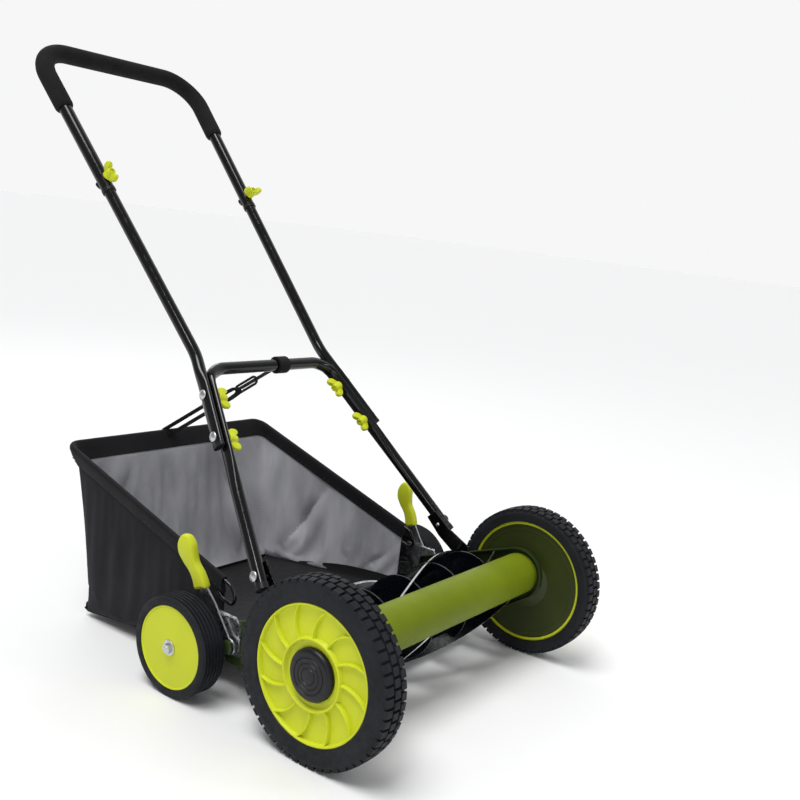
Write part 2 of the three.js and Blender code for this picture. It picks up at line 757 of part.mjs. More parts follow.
// A paddle grip with a waist, slotted over the top of the spring strip.
function leverGrip() {
  const edge = [
    [231, 164],
    [261, 153],
    [267, 173],
    [277, 182],
    [290, 197],
    [289, 217],
    [281, 234],
    [270, 232],
    [262, 226],
    [257, 216],
    [256, 203],
    [241, 195],
    [235, 183],
  ];
  const middle = (LEVER_IN + LEVER_OUT) / 2;
  const body = plate(outline(edge), middle - 6.5, middle + 6.5);
  const slot = [
    onLever(80, -STRIP_HALF - GAP),
    onLever(STRIP_TOP + 1, -STRIP_HALF - GAP),
    onLever(STRIP_TOP + 1, STRIP_HALF + GAP),
    onLever(80, STRIP_HALF + GAP),
  ];
  const pocket = plate(outline(slot), LEVER_IN - GAP, LEVER_OUT + GAP);
  return leanOut(cut(body, pocket), LEAN_FROM);
}
addPair("lever_grip", leverGrip(), MATERIALS.lime);

const rearInner = REAR_OUTER - REAR_WIDTH;
const REAR_FACE = REAR_OUTER - 1 - GAP; // outer face of the rear hub, behind the washer

function rearTyre() {
  const bore = REAR_AXLE_R + GAP;
  const profile = [
    [rearInner, 15],
    [rearInner + 4, 18],
    [rearInner + 4, 56],
    [rearInner, 60],
    [rearInner, REAR_R - 3],
    [rearInner + 2.5, REAR_R],
    [REAR_OUTER - 2.5, REAR_R],
    [REAR_OUTER, REAR_R - 3],
    [REAR_OUTER, REAR_DISC_R + GAP],
    [REAR_OUTER - 7, REAR_DISC_R + GAP],
    [REAR_OUTER - 7, bore],
    [rearInner, bore],
    [rearInner, 15],
  ];
  return turned(profile, REAR_AXLE_Y, REAR_R, 28);
}
addPair("rear_tyre", rearTyre(), MATERIALS.rubber);

function rearDisc() {
  const profile = [
    [REAR_OUTER - 7 + GAP, REAR_AXLE_R + GAP],
    [REAR_OUTER - 7 + GAP, REAR_DISC_R],
    [REAR_OUTER - 1.5, REAR_DISC_R],
    [REAR_OUTER - 2.5, REAR_DISC_R - 2],
    [REAR_OUTER - 2.5, 18],
    [REAR_FACE, 14],
    [REAR_FACE, REAR_AXLE_R + GAP],
    [REAR_OUTER - 7 + GAP, REAR_AXLE_R + GAP],
  ];
  return turned(profile, REAR_AXLE_Y, REAR_R, 28);
}
addPair("rear_disc", rearDisc(), MATERIALS.lime);

// ---------- handle ----------
const NESTED = 0.64; // how flat the tubes are where a leg and a middle tube are bolted together
const JOINT_SPREAD = (LOWER_R + MIDDLE_R) * NESTED + 0.7; // between the centres of the two tubes
const middleX = (s) => legX(s) + JOINT_SPREAD * Math.hypot(1, LEG_SPREAD);
const BOLT_R = 3;
const HOLE_R = BOLT_R + 0.6;

// Flattens a tube sideways, and widens it, over the stretch where it lies beside the other one.
// centre is the tube's distance out from the leg's own line.
function nested(bar, centre) {
  const unit = Math.hypot(1, LEG_SPREAD);
  const cos = Math.cos(HANDLE_SLOPE);
  const sin = Math.sin(HANDLE_SLOPE);
  const rise = THREE.MathUtils.smoothstep;
  return bar.warp((vertex) => {
    const side = Math.sign(vertex[0]);
    const x = Math.abs(vertex[0]) - LEG_FOOT_X;
    const s = (vertex[1] - FOOT_Y) * cos + (vertex[2] - FOOT_Z) * sin;
    const n = (vertex[2] - FOOT_Z) * cos - (vertex[1] - FOOT_Y) * sin;
    const along = (s - LEG_SPREAD * x) / unit;
    const out = (x + LEG_SPREAD * s) / unit - centre;
    const beside = rise(s, 110, 186) * (1 - rise(s, 300, 330)) * (1 - rise(Math.abs(out), 11, 22));
    const moved = centre + out * (1 - beside * (1 - NESTED));
    const newX = LEG_FOOT_X + (moved - LEG_SPREAD * along) / unit;
    const newS = (along + LEG_SPREAD * moved) / unit;
    const point = onHandle(side * newX, newS, n * (1 + 0.2 * beside));
    point.toArray(vertex);
  });
}

// Bolts through the lower legs run square to them, bolts at the upper joint square to the plane.
function legHole(s, side = 1) {
  const ends = [besideLeg(s, -16), besideLeg(s, 36)].map((p) => p.setX(p.x * side));
  return rodBetween(...ends, HOLE_R, 6);
}

function lowerHandle() {
  const half = legX(CROSSBAR);
  const leg = [LEG_END, 110, 135, 161, 186, 290].map((s) => onHandle(-legX(s), s));
  const otherLeg = leg.map((p) => new THREE.Vector3(-p.x, p.y, p.z)).reverse();
  const corners = [...leg, onHandle(-half, CROSSBAR), onHandle(half, CROSSBAR), ...otherLeg];
  const route = rounded(corners, [0, 0, 0, 0, 0, 45, 45, 0, 0, 0, 0, 0], 5);
  const bar = nested(tubeAlong(route, LOWER_R, LOWER_R - TUBE_SKIN), 0);
  const holes = [LEG_BOLT, LOW_JOINT, HIGH_JOINT].flatMap((s) => [legHole(s), legHole(s, -1)]);
  return cut(bar, ...holes);
}
add("lower_handle", lowerHandle(), MATERIALS.blackPaint);

const bendX = middleX(MIDDLE_BEND);
const upperX = (s) => THREE.MathUtils.mapLinear(s, MIDDLE_BEND, GRIP_START, bendX, TOP_X);

function upperHole(side = 1) {
  const x = side * upperX(UPPER_BOLT);
  return rodBetween(onHandle(x, UPPER_BOLT, -20), onHandle(x, UPPER_BOLT, 20), HOLE_R, 6);
}

function middleTube() {
  const beside = [MIDDLE_END, 300, 312, 322, MIDDLE_BEND].map((s) => onHandle(middleX(s), s));
  const corners = [...beside, onHandle(upperX(SLEEVE_END + 66), SLEEVE_END + 66)];
  const route = rounded(corners, [0, 0, 0, 110], 4);
  const bar = nested(tubeAlong(route, MIDDLE_R, MIDDLE_R - TUBE_SKIN), JOINT_SPREAD);
  return cut(bar, legHole(LOW_JOINT), legHole(HIGH_JOINT), upperHole());
}
addPair("middle_tube", middleTube(), MATERIALS.blackPaint);

function upperRoute(from) {
  const corners = [
    onHandle(-upperX(from), from),
    onHandle(-upperX(HANDLE_TOP), HANDLE_TOP),
    onHandle(upperX(HANDLE_TOP), HANDLE_TOP),
    onHandle(upperX(from), from),
  ];
  return rounded(corners, [62, 62], 5);
}

function upperHandle() {
  const bar = tubeAlong(upperRoute(SLEEVE_END), UPPER_R, MIDDLE_R + GAP);
  return cut(bar, upperHole(), upperHole(-1));
}
add("upper_handle", upperHandle(), MATERIALS.blackPaint);
add("foam_grip", tubeAlong(upperRoute(GRIP_START), GRIP_R, UPPER_R + GAP), MATERIALS.foam);

// A round-headed bolt from its head's seat towards a point, and the knob on its end.
function carriageBolt(seat, towards, length) {
  const along = new THREE.Vector3().subVectors(towards, seat).normalize();
  const at = (distance) => seat.clone().addScaledVector(along, distance);
  const shank = rodBetween(at(-0.5), at(length), BOLT_R, 8);
  const collar = rodBetween(at(-2), at(0), 8, 14);
  const dome = rodBetween(at(-3.6), at(-1.5), 5, 14);
  return join(shank, collar, dome);
}

const KNOB_HUB_R = 8;
const KNOB_HEIGHT = 16;
const KNOB_SPAN = 19;

// A wing knob: a round boss with two rounded wings in one plane, bored for the bolt.
function wingKnob(seat, towards, wings) {
  const along = new THREE.Vector3().subVectors(towards, seat).normalize();
  const side = wings.clone().projectOnPlane(along).normalize();
  const third = new THREE.Vector3().crossVectors(along, side);
  const shape = outline([
    [-8, 0],
    [-KNOB_SPAN, 9],
    [-KNOB_SPAN + 1, 19],
    [-11, 20],
    [-6, 13],
    [6, 13],
    [11, 20],
    [KNOB_SPAN - 1, 19],
    [KNOB_SPAN, 9],
    [8, 0],
  ]);
  const geometry = new THREE.ExtrudeGeometry(shape, { depth: 5, bevelEnabled: false });
  geometry.translate(0, 0, -2.5);
  geometry.applyMatrix4(new THREE.Matrix4().makeBasis(side, along, third));
  geometry.translate(...seat.toArray());
  const end = seat.clone().addScaledVector(along, KNOB_HEIGHT);
  const boss = rodBetween(seat, end, KNOB_HUB_R, 12);
  const far = seat.clone().addScaledVector(along, KNOB_HEIGHT + 1);
  const near = seat.clone().addScaledVector(along, -1);
  return cut(join(solid(geometry), boss), rodBetween(near, far, HOLE_R, 8));
}

const slopeUp = onHandle(0, 1).sub(onHandle(0, 0));
[["low", LOW_JOINT], ["high", HIGH_JOINT]].forEach(([place, s]) => {
  const seat = besideLeg(s, JOINT_SPREAD + MIDDLE_R * NESTED + 0.5);
  const knobSeat = besideLeg(s, -LOWER_R * NESTED - 0.5);
  const inward = besideLeg(s, -60);
  const length = seat.distanceTo(knobSeat) + 12;
  addPair("joint_bolt_" + place, carriageBolt(seat, inward, length), MATERIALS.zinc);
  addPair("joint_knob_" + place, wingKnob(knobSeat, inward, slopeUp), MATERIALS.lime);
});

const upperSeat = (n) => onHandle(upperX(UPPER_BOLT), UPPER_BOLT, n);
const upperBolt = carriageBolt(upperSeat(-UPPER_R - 1), upperSeat(0), 2 * UPPER_R + 14);
addPair("upper_bolt", upperBolt, MATERIALS.zinc);
const upperKnob = (wings) => wingKnob(upperSeat(UPPER_R + 1), upperSeat(30), wings);
addMesh(leftSide, "upper_knob_left", upperKnob(new THREE.Vector3(1, 0, 0)), MATERIALS.lime);
addMesh(rightSide, "upper_knob_right", upperKnob(slopeUp), MATERIALS.lime);

// The leg bolt's head bears on the leg's outer side, and its tail stands in the bracket.
const legSeat = besideLeg(LEG_BOLT, LOWER_R + 0.5);
addPair("leg_bolt", carriageBolt(legSeat, besideLeg(LEG_BOLT, 0), 30), MATERIALS.zinc);

// The collar on the crossbar holds a short tongue of webbing, and the bag's strap ends at its tip.
const COLLAR = { x0: 14, x1: 38, inner: LOWER_R + GAP, outer: 14.5 };
const STRAP_FROM = rimPoint(-12, RIM_REAR.y);
const STRAP_TO = onHandle((COLLAR.x0 + COLLAR.x1) / 2, CROSSBAR);
const TONGUE = 98; // from the crossbar's centre to the tongue's tip
const LOOP_IN = WIRE_R + 1.8; // the strap's loop round the rim wire
const LOOP_OUT = LOOP_IN + 1.8;

// Draws a shape in the strap's own plane, u along it from the rim and v square to it, as a band.
function strapBand(shape, width) {
  const u = new THREE.Vector3().subVectors(STRAP_TO, STRAP_FROM).normalize();
  const across = new THREE.Vector3(1, 0, 0).projectOnPlane(u).normalize();
  const v = new THREE.Vector3().crossVectors(across, u);
  const options = { depth: width, bevelEnabled: false, curveSegments: 4 };
  const geometry = new THREE.ExtrudeGeometry(shape, options);
  geometry.translate(0, 0, -width / 2);
  geometry.applyMatrix4(new THREE.Matrix4().makeBasis(u, v, across.negate()));
  geometry.translate(...STRAP_FROM.toArray());
  return solid(geometry);
}

const strapLength = STRAP_FROM.distanceTo(STRAP_TO);

function strapCollar() {
  const profile = [
    [COLLAR.x0, COLLAR.inner],
    [COLLAR.x0, COLLAR.outer],
    [COLLAR.x1, COLLAR.outer],
    [COLLAR.x1, COLLAR.inner],
    [COLLAR.x0, COLLAR.inner],
  ];
  const tongue = strapBand(
    outline([
      [strapLength - TONGUE, -1],
      [strapLength - COLLAR.outer + 1.5, -1],
      [strapLength - COLLAR.outer + 1.5, 1],
      [strapLength - TONGUE, 1],
    ]),
    STRAP_WIDTH,
  );
  return join(turned(profile, STRAP_TO.y, STRAP_TO.z, 20), tongue);
}
add("strap_collar", strapCollar(), MATERIALS.blackPlastic);

// ---------- grass bag ----------
function rimPoint(x, y) {
  const t = (y - RIM_FRONT.y) / (RIM_REAR.y - RIM_FRONT.y);
  return new THREE.Vector3(x, y, THREE.MathUtils.lerp(RIM_FRONT.z, RIM_REAR.z, t));
}

const rimCorners = [
  rimPoint(-BAG_HALF, RIM_FRONT.y),
  rimPoint(-BAG_HALF, RIM_REAR.y),
  rimPoint(BAG_HALF, RIM_REAR.y),
  rimPoint(BAG_HALF, RIM_FRONT.y),
];
add("bag_frame", tubeAlong(rounded(rimCorners, [26, 26], 4), WIRE_R, 0, 8), MATERIALS.blackPaint);

// The tray: a thin floor that dips to the rear, with a lip over the tie rod and low side walls.
const TRAY_LINE = [
  [169, 78.4],
  [184, 78],
  [204, 60],
  [240, 48],
  [300, 43],
  [440, 28],
  [558, 14],
];
const TRAY_THICK = 2.5;
const TRAY_WALL = 22;

function bagTray() {
  const lower = TRAY_LINE.map(([y, z]) => [y, z - TRAY_THICK]).reverse();
  const floor = plate(outline([...TRAY_LINE, ...lower]), -BAG_FLOOR_HALF + 3, BAG_FLOOR_HALF - 3);
  const sideLine = TRAY_LINE.slice(3);
  const top = sideLine.map(([y, z]) => [y, z + TRAY_WALL]).reverse();
  const bottom = sideLine.map(([y, z]) => [y, z - TRAY_THICK]);
  const wall = outline([...bottom, ...top]);
  const inner = BAG_FLOOR_HALF - 3 - TRAY_THICK;
  const outer = BAG_FLOOR_HALF - 3;
  return join(floor, plate(wall, inner, outer), plate(wall, -outer, -inner));
}
add("bag_tray", bagTray(), MATERIALS.blackPlastic);

// The fabric: a thin sheet from round the tray up to the rim, down both sides and across the rear.
function trayHeight(y) {
  const i = Math.max(1, TRAY_LINE.findIndex(([at]) => at >= y));
  const [y0, z0] = TRAY_LINE[i - 1];
  const [y1, z1] = TRAY_LINE[i];
  return THREE.MathUtils.mapLinear(y, y0, y1, z0, z1) - TRAY_THICK;
}

function bagFabric() {
  const FLOOR_REAR = 566;
  const loop = (half, front, rear, corner) => {
    const stops = [front, 300, 440].map((y) => new THREE.Vector3(half, y, 0));
    const start = stops.map((p) => p.clone().setX(-half));
    const corners = [
      ...start,
      new THREE.Vector3(-half, rear, 0),
      new THREE.Vector3(half, rear, 0),
      ...stops.reverse(),
    ];
    return rounded(corners, [0, 0, corner, corner, 0, 0], 3).stations;
  };
  const half = FABRIC_THICK / 2;
  const rows = [-half, half].map((offset) => {
    const low = loop(BAG_FLOOR_HALF + offset, RIM_FRONT.y, FLOOR_REAR + offset, 10);
    const high = loop(BAG_HALF + offset, RIM_FRONT.y, RIM_REAR.y + offset, 26);
    low.forEach((p) => p.setZ(trayHeight(Math.min(p.y, 557))));
    high.forEach((p) => p.setZ(rimPoint(0, p.y).z - LOOP_OUT - 0.6));
    return [low, high];
  });
  const [[lowIn, highIn], [lowOut, highOut]] = rows;
  const positions = [];
  const quad = (a, b, c, d) => [a, b, c, a, c, d].forEach((p) => positions.push(p.x, p.y, p.z));
  const last = lowIn.length - 1;
  for (let i = 0; i < last; i++) {
    quad(lowOut[i], lowOut[i + 1], highOut[i + 1], highOut[i]);
    quad(lowIn[i], highIn[i], highIn[i + 1], lowIn[i + 1]);
    quad(lowIn[i], lowIn[i + 1], lowOut[i + 1], lowOut[i]);
    quad(highIn[i], highOut[i], highOut[i + 1], highIn[i + 1]);
  }
  quad(lowIn[0], lowOut[0], highOut[0], highIn[0]);
  quad(lowIn[last], highIn[last], highOut[last], lowOut[last]);
  const geometry = new THREE.BufferGeometry();
  geometry.setAttribute("position", new THREE.Float32BufferAttribute(positions, 3));
  return solid(geometry);
}
add("bag_fabric", bagFabric(), MATERIALS.fabric);

// The bag's strap: a flat loop of webbing from round the rim wire to the tongue's tip.
function bagStrap() {
  const far = strapLength - TONGUE - LOOP_OUT - 1;
  const stadium = (half, Kind) => {
    const path = new Kind();
    path.absarc(far, 0, half, -Math.PI / 2, Math.PI / 2, false);
    path.absarc(0, 0, half, Math.PI / 2, (3 * Math.PI) / 2, false);
    return path;
  };
  const shape = stadium(LOOP_OUT, THREE.Shape);
  shape.holes.push(stadium(LOOP_IN, THREE.Path));
  return strapBand(shape, STRAP_WIDTH);
}
add("bag_strap", bagStrap(), MATERIALS.blackPlastic);

// The whole mower is centred over the origin.
const box = new THREE.Box3().setFromObject(mower, true);
mower.position.y = -(box.min.y + box.max.y) / 2;

export default mower;
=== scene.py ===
"""Looks for the push reel mower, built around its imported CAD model.

Lengths here are millimetres measured from the floor and from the front axle line: x across, y
back from the axle, z up. at() turns them into the frame's metres.
"""

import math

import bmesh
import bpy
from mathutils import Matrix, Vector


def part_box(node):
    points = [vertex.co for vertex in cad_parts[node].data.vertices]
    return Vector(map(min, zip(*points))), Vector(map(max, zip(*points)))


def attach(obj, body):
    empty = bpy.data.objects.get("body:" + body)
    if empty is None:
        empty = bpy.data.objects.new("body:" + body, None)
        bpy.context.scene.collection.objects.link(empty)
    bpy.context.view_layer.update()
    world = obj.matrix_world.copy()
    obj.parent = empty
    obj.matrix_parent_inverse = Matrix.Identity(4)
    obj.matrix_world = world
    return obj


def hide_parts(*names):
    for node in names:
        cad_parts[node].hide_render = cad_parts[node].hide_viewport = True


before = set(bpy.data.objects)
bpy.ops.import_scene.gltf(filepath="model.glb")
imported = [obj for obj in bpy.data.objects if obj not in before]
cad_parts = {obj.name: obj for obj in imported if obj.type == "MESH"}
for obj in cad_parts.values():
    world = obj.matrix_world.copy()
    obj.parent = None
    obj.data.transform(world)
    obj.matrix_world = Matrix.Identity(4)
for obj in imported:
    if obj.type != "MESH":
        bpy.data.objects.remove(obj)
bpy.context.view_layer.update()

MM = 0.001
SIDES = {"left": 1, "right": -1}
tyre_low, tyre_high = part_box("front_tyre_left")
AXLE_Y = (tyre_low.y + tyre_high.y) / 2


def at(x, y, z):
    return Vector((x * MM, AXLE_Y + y * MM, z * MM))


# ---------- camera, lights and floor ----------
CAMERA_AT = (-1200.9, -760.1, 706.5)
CAMERA_AZIMUTH, CAMERA_ELEVATION, CAMERA_ROLL = (math.radians(a) for a in (-55.9, 10.7, 6.8))


def add_camera():
    camera = bpy.data.objects.new("camera", bpy.data.cameras.new("camera"))
    bpy.context.scene.collection.objects.link(camera)
    camera.data.sensor_width = 36
    camera.data.lens = 44.59
    camera.data.shift_x = -0.0438
    camera.data.shift_y = 0.0185
    camera.data.clip_end = 50
    level = math.cos(CAMERA_ELEVATION)
    back = Vector(
        (
            math.sin(CAMERA_AZIMUTH) * level,
            -math.cos(CAMERA_AZIMUTH) * level,
            math.sin(CAMERA_ELEVATION),
        )
    )
    right = (-back).cross(Vector((0, 0, 1))).normalized()
    up = back.cross(right)
    roll = Matrix.Rotation(CAMERA_ROLL, 3, back)
    axes = Matrix((roll @ right, roll @ up, back)).transposed()
    camera.matrix_world = Matrix.Translation(at(*CAMERA_AT)) @ axes.to_4x4()
    bpy.context.scene.camera = camera


def add_area_light(name, place, target, size, power):
    light = bpy.data.objects.new(name, bpy.data.lights.new(name, "AREA"))
    bpy.context.scene.collection.objects.link(light)
    light.data.shape = "RECTANGLE"
    light.data.size, light.data.size_y = size
    light.data.energy = power
    light.location = place
    light.rotation_euler = (Vector(target) - Vector(place)).to_track_quat("-Z", "Y").to_euler()


def add_studio():
    world = bpy.data.worlds.new("studio")
    bpy.context.scene.world = world
    world.use_nodes = True
    nodes = world.node_tree.nodes
    links = world.node_tree.links
    direction = nodes.new("ShaderNodeTexCoord").outputs["Generated"]
    behind = nodes.new("ShaderNodeVectorMath")
    behind.operation = "DOT_PRODUCT"
    behind.inputs[1].default_value = (-math.sin(CAMERA_AZIMUTH), math.cos(CAMERA_AZIMUTH), 0)
    links.new(direction, behind.inputs[0])
    wall = nodes.new("ShaderNodeValToRGB")
    wall.color_ramp.elements[0].position = 0.25
    wall.color_ramp.elements[0].color = (0.3, 0.305, 0.315, 1)
    wall.color_ramp.elements[1].position = 0.72
    wall.color_ramp.elements[1].color = (0.93, 0.93, 0.935, 1)
    links.new(behind.outputs["Value"], wall.inputs["Fac"])
    backdrop = nodes.new("ShaderNodeMix")
    backdrop.data_type = "RGBA"
    backdrop.inputs[7].default_value = (0.93, 0.93, 0.935, 1)
    links.new(nodes.new("ShaderNodeLightPath").outputs["Is Camera Ray"], backdrop.inputs[0])
    links.new(wall.outputs["Color"], backdrop.inputs[6])
    links.new(backdrop.outputs[2], nodes["Background"].inputs["Color"])
    add_area_light("key", (-1.5, -0.9, 2.4), (0, -0.1, 0.3), (0.5, 0.5), 11)
    add_area_light("front", (-2.6, -2.2, 1.0), (0, 0, 0.3), (0.3, 1.2), 6)
    add_area_light("side", (0.9, -2.4, 1.7), (0, 0, 0.3), (0.3, 0.9), 7)
    add_area_light("back", (1.2, 2.2, 2.3), (0, 0, 0.4), (1.2, 0.4), 9)
    sky = bpy.data.objects.new("sky", bpy.data.lights.new("sky", "SUN"))
    bpy.context.scene.collection.objects.link(sky)
    sky.data.energy = 2.1
    sky.data.angle = math.radians(32)
    sky.rotation_euler = Vector((0.7, -0.2, -2.4)).to_track_quat("-Z", "Y").to_euler()
    floor = bpy.data.objects.new("floor", bpy.data.meshes.new("floor"))
    bpy.context.scene.collection.objects.link(floor)
    half = 40
    corners = [(-half, -half, 0), (half, -half, 0), (half, half, 0), (-half, half, 0)]
    floor.data.from_pydata(corners, [], [(0, 1, 2, 3)])
    floor.data.materials.append(plain("floor", (0.845, 0.845, 0.845), 0.8))


# ---------- materials ----------
def plain(name, colour, roughness, metallic=0.0, shine=0.5):
    material = bpy.data.materials.new(name)
    material.use_nodes = True
    shader = material.node_tree.nodes["Principled BSDF"]
    shader.inputs["Base Color"].default_value = (*colour, 1)
    shader.inputs["Roughness"].default_value = roughness
    shader.inputs["Metallic"].default_value = metallic
    shader.inputs["Specular IOR Level"].default_value = shine
    return material


class Nodes:
    """A few shorthands for building one material's node tree."""

    def __init__(self, material):
        self.tree = material.node_tree
        self.shader = self.tree.nodes["Principled BSDF"]
        self.place = self.new("ShaderNodeTexCoord").outputs["Object"]

    def new(self, kind, **settings):
        node = self.tree.nodes.new(kind)
        for key, value in settings.items():
            if key in node.inputs:
                node.inputs[key].default_value = value
            else:
                setattr(node, key, value)
        return node

    def link(self, source, target):
        self.tree.links.new(source, target)

    def noise(self, scale, detail=3.0, stretch=(1, 1, 1)):
        mapping = self.new("ShaderNodeMapping")
        mapping.inputs["Scale"].default_value = stretch
        self.link(self.place, mapping.inputs["Vector"])
        texture = self.new("ShaderNodeTexNoise", Scale=scale, Detail=detail)
        self.link(mapping.outputs["Vector"], texture.inputs["Vector"])
        return texture.outputs["Fac"]

    def ramp(self, source, stops):
        ramp = self.new("ShaderNodeValToRGB")
        elements = ramp.color_ramp.elements
        for element, (position, colour) in zip(elements, (stops[0], stops[-1])):
            element.position = position
            element.color = (*colour, 1)
        for position, colour in stops[1:-1]:
            elements.new(position).color = (*colour, 1)
        self.link(source, ramp.inputs["Fac"])
        return ramp.outputs["Color"]

    def colour(self, source, dark, light, low=0.3, high=0.7):
        self.link(self.ramp(source, [(low, dark), (high, light)]), self.shader.inputs["Base Color"])

    def roughness(self, source, low, high):
        stops = [(0.3, (low,) * 3), (0.7, (high,) * 3)]
        self.link(self.ramp(source, stops), self.shader.inputs["Roughness"])

    def bump(self, source, strength, distance, onto=None):
        bump = self.new("ShaderNodeBump", Strength=strength, Distance=distance)
        self.link(source, bump.inputs["Height"])
        if onto is not None:
            self.link(onto.outputs["Normal"], bump.inputs["Normal"])
        self.link(bump.outputs["Normal"], self.shader.inputs["Normal"])
        return bump


def tint(colour, factor):
    return tuple(c * factor for c in colour)


def moulded_plastic(name, colour, roughness, shine=0.4):
    material = plain(name, colour, roughness, shine=shine)
    nodes = Nodes(material)
    nodes.colour(nodes.noise(9), tint(colour, 0.94), tint(colour, 1.03))
    nodes.roughness(nodes.noise(60), roughness - 0.05, roughness + 0.07)
    fine = nodes.bump(nodes.noise(2600, 2), 0.12, 0.0002)
    nodes.bump(nodes.noise(45, 2), 0.05, 0.001, fine)
    return material


def powder_coat(name, colour, roughness, coat=0.0, shine=0.4):
    material = plain(name, colour, roughness, shine=shine)
    nodes = Nodes(material)
    nodes.colour(nodes.noise(14, 5), tint(colour, 0.88), tint(colour, 1.08))
    nodes.roughness(nodes.noise(90), roughness - 0.05, roughness + 0.08)
    nodes.bump(nodes.noise(900, 2), 0.1, 0.0003)
    nodes.shader.inputs["Coat Weight"].default_value = coat
    nodes.shader.inputs["Coat Roughness"].default_value = 0.12
    return material


def plated_steel(name, colour, roughness):
    material = plain(name, colour, roughness, 1.0)
    nodes = Nodes(material)
    nodes.colour(nodes.noise(70, 4), tint(colour, 0.75), tint(colour, 1.05))
    nodes.roughness(nodes.noise(160, 4), roughness - 0.08, roughness + 0.14)
    nodes.bump(nodes.noise(700, 3, (0.06, 1, 1)), 0.08, 0.0002)
    return material


def tyre_rubber():
    colour = (0.0115, 0.0122, 0.015)
    material = plain("tyre_rubber", colour, 0.6, shine=0.2)
    nodes = Nodes(material)
    dusty = nodes.noise(26, 6)
    nodes.colour(dusty, tint(colour, 0.8), tint(colour, 1.35))
    nodes.roughness(nodes.noise(120, 4), 0.52, 0.74)
    fine = nodes.bump(nodes.noise(1500, 3), 0.25, 0.0003)
    nodes.bump(nodes.noise(200, 2), 0.08, 0.0008, fine)
    return material


def foam_rubber():
    colour = (0.007, 0.007, 0.0075)
    material = plain("foam_rubber", colour, 0.85, shine=0.2)
    nodes = Nodes(material)
    cells = nodes.new("ShaderNodeTexVoronoi", Scale=1100.0)
    nodes.link(nodes.place, cells.inputs["Vector"])
    nodes.colour(nodes.noise(40, 5), tint(colour, 0.8), tint(colour, 1.5))
    pores = nodes.bump(cells.outputs["Distance"], 0.5, 0.0005)
    nodes.bump(nodes.noise(120, 3), 0.12, 0.001, pores)
    return material


def woven(name, colour, thread, roughness, sheen):
    """A plain weave: two crossed sets of threads, one along the cloth's height."""
    material = plain(name, colour, roughness, shine=0.15)
    nodes = Nodes(material)
    across = nodes.new("ShaderNodeTexWave", bands_direction="Z", Scale=1 / thread)
    along = nodes.new("ShaderNodeTexWave", bands_direction="DIAGONAL", Scale=0.7 / thread)
    for wave in (across, along):
        nodes.link(nodes.place, wave.inputs["Vector"])
    both = nodes.new("ShaderNodeMath", operation="MULTIPLY")
    nodes.link(across.outputs["Fac"], both.inputs[0])
    nodes.link(along.outputs["Fac"], both.inputs[1])
    blotch = nodes.noise(17, 6, (1, 1, 0.5))
    mix = nodes.new("ShaderNodeMath", operation="MULTIPLY_ADD")
    nodes.link(both.outputs["Value"], mix.inputs[0])
    mix.inputs[1].default_value = 0.35
    nodes.link(blotch, mix.inputs[2])
    nodes.colour(mix.outputs["Value"], tint(colour, 0.6), tint(colour, 1.25), 0.35, 0.85)
    weave = nodes.bump(both.outputs["Value"], 0.35, 0.0006)
    nodes.bump(nodes.noise(42, 3), 0.1, 0.002, weave)
    nodes.shader.inputs["Sheen Weight"].default_value = sheen
    nodes.shader.inputs["Sheen Roughness"].default_value = 0.5
    return material


LIME = (0.6, 0.66, 0.022)
OLIVE = (0.165, 0.215, 0.008)
MATERIALS = {
    "lime_plastic": moulded_plastic("lime_plastic", LIME, 0.42, 0.25),
    "olive_paint": powder_coat("olive_paint", OLIVE, 0.4, 0.0, 0.1),
    # dark_olive: the olive paint with painted shade, dimmed to how dark the gear cover looks in the
    # tyre's shadow
    "dark_olive": powder_coat("dark_olive", (0.034, 0.044, 0.007), 0.4, 0.0, 0.3),
    "green_paint": powder_coat("green_paint", (0.02, 0.035, 0.008), 0.36, 0.1, 0.3),
    "black_paint": powder_coat("black_paint", (0.002, 0.002, 0.0025), 0.11, 0.0, 0.45),
    "black_plastic": moulded_plastic("black_plastic", (0.009, 0.009, 0.011), 0.36, 0.3),
    "tray_plastic": moulded_plastic("tray_plastic", (0.015, 0.015, 0.016), 0.5, 0.25),
    "reel_steel": powder_coat("reel_steel", (0.002, 0.0025, 0.005), 0.25, 0.0, 0.25),
    "honed_steel": plated_steel("honed_steel", (0.72, 0.73, 0.75), 0.22),
    "zinc": plated_steel("zinc", (0.66, 0.67, 0.68), 0.3),
    "tyre": tyre_rubber(),
    "foam": foam_rubber(),
    "mesh_cloth": woven("mesh_cloth", (0.0165, 0.0165, 0.0195), 0.004, 0.8, 0.03),
    "lining_cloth": woven("lining_cloth", (0.5, 0.5, 0.535), 0.004, 0.9, 0.0),
    "binding": woven("binding", (0.008, 0.008, 0.0095), 0.003, 0.75, 0.05),
    "webbing": woven("webbing", (0.006, 0.006, 0.007), 0.002, 0.7, 0.05),
    "thread": plain("thread", (0.03, 0.03, 0.033), 0.7),
}


# ---------- mesh building ----------
def piece(name, points, faces, material, body, replaces=(), sharp=35.0, bevel=0.0, more=()):
    """A mesh made from points in millimetres, riding on a body. more names extra materials."""
    mesh = bpy.data.meshes.new(name)
    mesh.from_pydata([at(*p) for p in points], [], faces)
    work = bmesh.new()
    work.from_mesh(mesh)
    bmesh.ops.remove_doubles(work, verts=work.verts, dist=1e-6)
    bmesh.ops.recalc_face_normals(work, faces=work.faces)
    work.to_mesh(mesh)
    work.free()
    mesh.shade_smooth()
    mesh.set_sharp_from_angle(angle=math.radians(sharp))
    obj = bpy.data.objects.new(name, mesh)
    bpy.context.scene.collection.objects.link(obj)
    for key in (material, *more):
        mesh.materials.append(MATERIALS[key])
    if bevel:
        edge = obj.modifiers.new("bevel", "BEVEL")
        edge.width = bevel * MM
        edge.segments = 3
        edge.limit_method = "ANGLE"
        edge.angle_limit = math.radians(sharp)
        edge.harden_normals = True
    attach(obj, body)
    if replaces:
        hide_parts(*replaces)
    return obj


